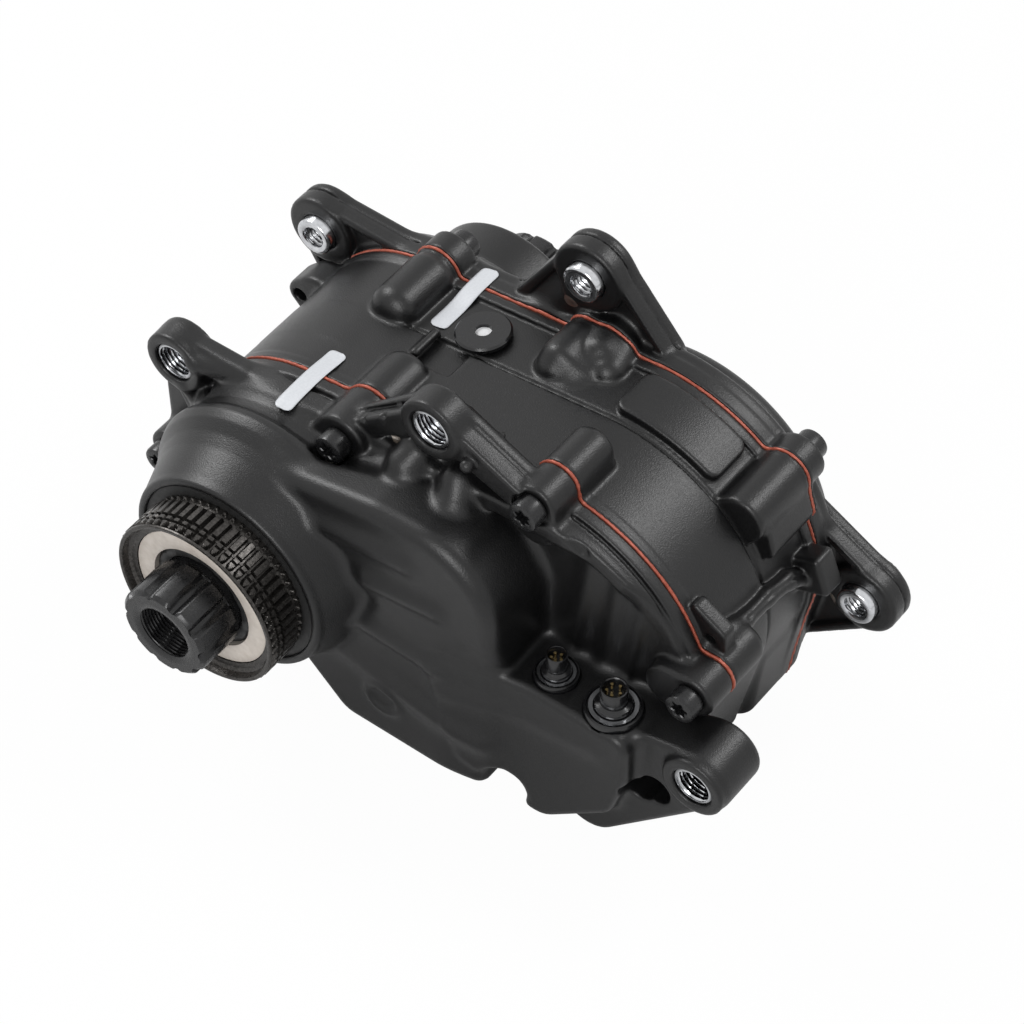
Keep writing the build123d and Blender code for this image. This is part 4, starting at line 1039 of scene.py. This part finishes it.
def make_shield():
    """The beige disc that keeps dust out of the carrier."""
    angles = even(160)
    rings = [(15.9, 15.5), (16.1, 15.4), (21.2, 15.4), (21.5, 15.6), (21.5, 17.3), (15.9, 17.3)]
    return smooth(wrapped("carrier_dust_shield_disc", rings, angles))


def make_drive_seal():
    """The dark seal between spindle and shield, with ten scallops in its lip."""
    scallops = 10
    angles = even(200)
    scallop = 0.9 * np.clip(np.sin(angles * scallops) * 2.5, -1, 1)
    rings = [
        (12.7, 16.6), (13.4 + 0.3 * scallop, 16.2), (14.6 + 0.5 * scallop, 16.2), (15.4, 16.9), (15.7, 17.1),
        (15.7, 18.4), (12.7, 18.4),
    ]
    return smooth(wrapped("spindle_seal_drive_lip", rings, angles))


def make_inserts():
    """The thread inserts of the three drive side ears."""
    crest, root, outer, pitch = 5.0, 5.95, 6.9, 1.25
    angles = even(72)
    made = []
    for name, (x, z, face, _) in EARS.items():
        back = face + INSERT_DEPTH
        rings = [(root, face + 0.8), (outer, face + 1.5), (outer, back), (5.6, back)]
        rings += thread(crest, root - crest, pitch, back - 0.1, face + 0.7, angles, 8)
        piece = wrapped(name + "_insert", rings, angles, (x, 0, z))
        made.append(mark_root_shade(piece, (x, z), crest, root, root + 0.02))
    return join("frame_thread_insert_set", made)


def make_bushing(name):
    """A sliding bushing of a far ear, with its inner thread."""
    x, z, _, start = EARS[name]
    end = start + BUSHING_LENGTH
    crest, root, outer, pitch = 3.3, 3.9, 5.6, 1.25
    angles = even(72)
    rings = [
        (root, start), (5.0, start), (5.35, start + 0.15), (outer, start + 0.6),
        (outer, end - 0.3), (5.3, end), (root, end),
    ]
    rings += thread(crest, root - crest, pitch, end - 0.3, start + 0.3, angles, 8)
    piece = wrapped(name + "_bushing_sleeve", rings, angles, (x, 0, z))
    return smooth(mark_root_shade(piece, (x, z), crest, root, root - 0.01), 40)


def mark_root_shade(piece, place, crest, root, outside):
    """Marks how deep each vertex lies in a thread about an axis along Y, for the shade painted into its roots.
    """
    marks = []
    for vertex in piece.data.vertices:
        radius = math.hypot(vertex.co.x / MM - place[0], vertex.co.z / MM - place[1])
        depth = (radius - crest) / (root - crest)
        marks.append(float(np.clip(1.6 * depth - 0.4, 0, 1)) if radius < outside else 0.0)
    # The depth in the thread is the mask for the painted shade in the roots
    layer = piece.data.attributes.new("root", "FLOAT", "POINT")
    layer.data.foreach_set("value", marks)
    return piece


def join(name, pieces):
    """Joins pieces into one plain mesh at the origin."""
    points, faces, marks = [], [], []
    for piece in pieces:
        start = len(points)
        points += [tuple(vertex.co) for vertex in piece.data.vertices]
        faces += [tuple(start + index for index in face.vertices) for face in piece.data.polygons]
        marked = piece.data.attributes.get("root")
        marks += [item.value for item in marked.data] if marked else [0.0] * (len(points) - start)
        bpy.data.objects.remove(piece)
    mesh = bpy.data.meshes.new(name)
    mesh.from_pydata(points, [], faces)
    mesh.attributes.new("root", "FLOAT", "POINT").data.foreach_set("value", marks)
    return smooth(link(name, mesh))


# Screws, set at their places by a node tree
def make_screw():
    """One cap screw with a six-lobed recess. Its head's seat is at the origin and it points along +Y."""
    angles = even(72)
    recess = 2.05 + 0.42 * np.cos(6 * angles)
    head, top, shank, tip = SCREW_HEAD_R, -SCREW_HEAD, 2.5, 1.9
    rings = [
        (recess * 0.96, top + 2.6), (recess, top + 0.3), (recess + 0.3, top + 0.05), (head - 0.9, top),
        (head - 0.2, top + 0.25), (head, top + 0.8), (head, -0.3), (head - 0.3, 0.0), (shank, 0.0),
        (shank, SCREW_LENGTH - 1), (tip, SCREW_LENGTH),
    ]
    return smooth(wrapped("casing_screw", rings, angles, closed=False))


def placing_tree(name):
    """A node tree that puts a shape on every point and turns it by the point's own angle."""
    tree = bpy.data.node_groups.new(name, "GeometryNodeTree")
    for label, way, kind in (
        ("Geometry", "INPUT", "Geometry"), ("Shape", "INPUT", "Object"), ("Finish", "INPUT", "Material"),
        ("Geometry", "OUTPUT", "Geometry"),
    ):
        tree.interface.new_socket(label, in_out=way, socket_type="NodeSocket" + kind)
    start = add_node(tree, "NodeGroupInput").outputs
    shape = add_node(tree, "GeometryNodeObjectInfo", {"Object": start["Shape"]})
    turned = add_node(tree, "GeometryNodeInputNamedAttribute", {"Name": "turned"}, data_type="FLOAT_VECTOR")
    put = add_node(tree, "GeometryNodeInstanceOnPoints", {
        "Points": start["Geometry"], "Instance": shape.outputs["Geometry"],
        "Rotation": turned.outputs["Attribute"],
    })
    real = add_node(tree, "GeometryNodeRealizeInstances", {"Geometry": put.outputs["Instances"]})
    coat = add_node(tree, "GeometryNodeSetMaterial", {
        "Geometry": real.outputs["Geometry"], "Material": start["Finish"],
    })
    add_node(tree, "NodeGroupOutput", {"Geometry": coat.outputs["Geometry"]})
    return tree


def placed(name, tree, shape, finish, places, angles):
    """Copies of a shape at places, each turned by its own angles, as one plain mesh."""
    mesh = bpy.data.meshes.new(name)
    mesh.from_pydata((np.array(places) * MM).tolist(), [], [])
    turned = mesh.attributes.new("turned", "FLOAT_VECTOR", "POINT")
    turned.data.foreach_set("vector", np.array(angles, np.float32).ravel())
    piece = link(name, mesh)
    modifier = piece.modifiers.new("places", "NODES")
    modifier.node_group = tree
    given = {"Shape": shape, "Finish": finish}
    for item in tree.interface.items_tree:
        if item.name in given:
            modifier[item.identifier] = given[item.name]
    return plain(piece)


def make_screws(finish):
    """Both sets of casing screws. Those of the non-drive side point the other way."""
    screw = make_screw()
    tree = placing_tree("screws at their bosses")
    made = {}
    for node, name, screws, flip, turn in (
        ("drive_side_screws", "drive_side_screw_set", DRIVE_SCREWS, 0, 0.4),
        ("non_drive_screws", "non_drive_screw_set", FAR_SCREWS, math.pi, 0.5),
    ):
        places = [(x, seat, z) for x, z, seat, _, _ in screws]
        angles = [(flip, turn * index, 0) for index in range(len(screws))]
        made[node] = placed(name, tree, screw, finish, places, angles)
    bpy.data.objects.remove(screw)
    return made


# Connectors, set in the ledge: radius and height of each corner, for a port of size 1
CONNECTOR_PROFILE = (
    (2.7, 5.6), (2.9, 5.9), (3.0, 8.2), (3.25, 8.5), (3.6, 8.4), (3.7, 8.0), (3.7, 3.4), (4.3, 3.1),
    (4.8, 2.9), (5.0, 2.4), (5.0, 1.0), (5.3, 0.8), (6.9, 0.8), (7.1, 1.4), (7.6, 1.3), (7.8, 0.9), (7.8, -0.4),
    (6.2, -0.5), (6.2, -9.0),
)
RING_SECTION = ((5.4, 0.9), (6.5, 0.9), (6.6, 1.1), (6.5, 1.5), (5.4, 1.5), (5.3, 1.2))
RING_START, RING_SWEEP = 150, 318


def make_connector(node):
    """A round panel connector: a flange, a stepped collar and a hollow plug."""
    x, y, size = PORTS[node]
    rings = [(radius * size, LEDGE_Z + height) for radius, height in CONNECTOR_PROFILE[::-1]]
    return smooth(wrapped(node + "_body", rings, even(96), (x, y, 0), axis="Z", closed=False))


def make_snap_rings():
    """The bright open spring rings that hold the connectors."""
    made = []
    count, side = 90, len(RING_SECTION)
    for node, (x, y, size) in PORTS.items():
        points, faces = [], []
        for angle in math.radians(RING_START) + np.linspace(0, math.radians(RING_SWEEP), count):
            for radius, height in RING_SECTION:
                reach = radius * size
                points.append((x + reach * math.cos(angle), y + reach * math.sin(angle), LEDGE_Z + height))
        for first in range(0, (count - 1) * side, side):
            for corner in range(side):
                after = (corner + 1) % side
                faces.append((first + corner, first + side + corner, first + side + after, first + after))
        faces.append(tuple(range(side)))
        faces.append(tuple(range((count - 1) * side, count * side))[::-1])
        mesh = bpy.data.meshes.new(node + "_ring")
        mesh.from_pydata((np.array(points) * MM).tolist(), [], faces)
        made.append(link(node + "_ring", mesh))
    return join("snap_ring_set", made)


# Labels, draped on the skin
def laid_heights(skin, rows, columns):
    """Heights that paper takes: it spans the hollows and bends only gently along its length."""
    heights = np.array([[skin.height(x, y) for x in row] for row, y in zip(columns, rows)])
    for take, reach in ((np.max, 5), (np.mean, 7), (np.mean, 5)):
        padded = np.pad(heights, ((reach, reach), (0, 0)), mode="edge")
        heights = take([padded[shift:shift + len(heights)] for shift in range(2 * reach + 1)], axis=0)
    return heights


def make_label(node, skin):
    """A blank paper label with rounded corners, laid over the joint below it."""
    low, high = node_box(node)
    across, along, corner = 11, 61, 1.6
    gap, paper = 0.14, 0.15
    middle, half = (low[0] + high[0]) / 2, (high[0] - low[0]) / 2
    rows = np.linspace(low[1], high[1], along)
    columns = []
    for y in rows:
        into = min(corner, y - low[1], high[1] - y)
        width = half - corner + math.sqrt(max(corner ** 2 - (corner - into) ** 2, 0.01))
        columns.append(middle + width * np.linspace(-1, 1, across))
    heights = laid_heights(skin, rows, columns) + gap
    points = [(x, y, z) for row, y, level in zip(columns, rows, heights) for x, z in zip(row, level)]
    faces = []
    for first in range(0, (along - 1) * across, across):
        for column in range(first, first + across - 1):
            faces.append((column, column + 1, column + across + 1, column + across))
    mesh = bpy.data.meshes.new(node)
    mesh.from_pydata((np.array(points) * MM).tolist(), [], faces)
    piece = link(node + "_paper", mesh)
    thick = piece.modifiers.new("thick", "SOLIDIFY")
    thick.thickness, thick.offset = paper * MM, 1.0
    plain(piece).data.shade_smooth()
    return piece


# Stage, lamps and camera, in metres
CAMERA_AXES = ((0.7971, 0.6038, 0.0), (-0.4571, 0.6034, 0.6534), (0.3945, -0.5209, 0.7570))
CAMERA_PLACE = (0.4424, -0.4351, 0.7595)
CAMERA_LENS, CAMERA_SENSOR = 133.35, 36.0
SKY_LIGHT = 0.22
FLOOR_HALF = 3.0
FLOOR_GLOW = 0.97
LIT_PLACE = (0.05, 0.08, 0.0)
SOFTBOXES = (
    ("right softbox", (0.55, 0.78, 0.95), (0.45, 0.4), 6.5),
    ("left softbox", (-0.92, 0.12, 0.78), (0.45, 0.45), 7.5),
    ("front softbox", (0.35, -0.85, 0.75), (0.55, 0.55), 7.5),
)


def make_camera():
    """The camera, placed as the motor is seen from above its drive side."""
    data = bpy.data.cameras.new("camera")
    data.lens, data.sensor_width = CAMERA_LENS, CAMERA_SENSOR
    camera = link("camera", data)
    turned = Matrix(CAMERA_AXES).transposed().to_4x4()
    camera.matrix_world = Matrix.Translation(CAMERA_PLACE) @ turned
    bpy.context.scene.camera = camera


def lamp(name, place, size, power):
    """A softbox that faces the motor."""
    data = bpy.data.lights.new(name, "AREA")
    data.shape = "RECTANGLE"
    data.size, data.size_y = size
    data.energy = power
    piece = link(name, data)
    piece.location = place
    piece.rotation_euler = (Vector(LIT_PLACE) - Vector(place)).to_track_quat("-Z", "Y").to_euler()


def make_world():
    """A white sky for the camera and for reflections, which lights the object only softly."""
    world = bpy.data.worlds.new("studio")
    world.use_nodes = True
    bpy.context.scene.world = world
    tree = world.node_tree
    path = add_node(tree, "ShaderNodeLightPath").outputs
    seen = calculated(tree, "MAXIMUM", path["Is Camera Ray"], path["Is Glossy Ray"])
    seen = calculated(tree, "MAXIMUM", seen, path["Is Transmission Ray"])
    level = add_node(tree, "ShaderNodeMapRange", {"To Min": SKY_LIGHT, "To Max": 1.0, "Value": seen})
    fill(tree, tree.nodes["Background"], {"Color": WHITE, "Strength": level.outputs["Result"]})


def make_floor():
    """A pale floor that the camera sees almost white, with what remains of the shadow."""
    z = FOOT_Z * MM
    corners = [(x * FLOOR_HALF, y * FLOOR_HALF, z) for x, y in ((-1, -1), (1, -1), (1, 1), (-1, 1))]
    mesh = bpy.data.meshes.new("floor")
    mesh.from_pydata(corners, [], [(0, 1, 2, 3)])
    floor = link("floor", mesh)
    made = bpy.data.materials.new("pale floor")
    made.use_nodes = True
    tree = made.node_tree
    fill(tree, tree.nodes["Principled BSDF"], {"Base Color": (0.86, 0.86, 0.86, 1), "Roughness": 0.7})
    glow = add_node(tree, "ShaderNodeEmission", {"Strength": 1.0})
    path = add_node(tree, "ShaderNodeLightPath").outputs
    share = calculated(tree, "MULTIPLY", path["Is Camera Ray"], FLOOR_GLOW)
    mix = add_node(tree, "ShaderNodeMixShader", {
        "Fac": share, 1: tree.nodes["Principled BSDF"].outputs[0], 2: glow.outputs[0],
    })
    fill(tree, tree.nodes["Material Output"], {"Surface": mix.outputs[0]})
    floor.data.materials.append(made)


def make_studio():
    """The white sky, the floor and the softboxes."""
    make_world()
    make_floor()
    for softbox in SOFTBOXES:
        lamp(*softbox)
    bpy.context.scene.view_settings.view_transform = "Standard"


# Putting it together
def body_of(node):
    """The body that a CAD node belongs to."""
    return next(body for body, nodes in frame["record"]["behaviour"]["bodies"].items() if node in nodes)


def dress(piece, node, finish):
    """Gives a new piece its finish and lets it stand for a CAD node."""
    piece.data.materials.clear()
    piece.data.materials.append(finish)
    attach(piece, body_of(node))
    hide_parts(node)


make_camera()
make_studio()
finishes = make_finishes()
new_pieces, skin = make_housings()
new_pieces.update(make_screws(finishes["black_steel"]))
new_pieces["crank_spindle"] = make_spindle()
new_pieces["chainring_carrier"] = make_carrier()
new_pieces["carrier_dust_shield"] = make_shield()
new_pieces["spindle_seal_drive"] = make_drive_seal()
new_pieces["frame_thread_inserts"] = make_inserts()
for ear in EARS:
    new_pieces[ear + "_sliding_bushing"] = make_bushing(ear)
for label in ("front_blank_label", "back_blank_label"):
    new_pieces[label] = make_label(label, skin)
for port in PORTS:
    new_pieces[port] = make_connector(port)
new_pieces["snap_rings"] = make_snap_rings()

slots = {entry["node"]: entry["material_slot"] for entry in frame["record"]["subparts"]}
for node, thing in frame["nodes"].items():
    slot_name = slots[node]
    finish = finishes[slot_name]
    if node in new_pieces:
        dress(new_pieces[node], node, finish)
    else:
        thing.data.materials.clear()
        thing.data.materials.append(finish)
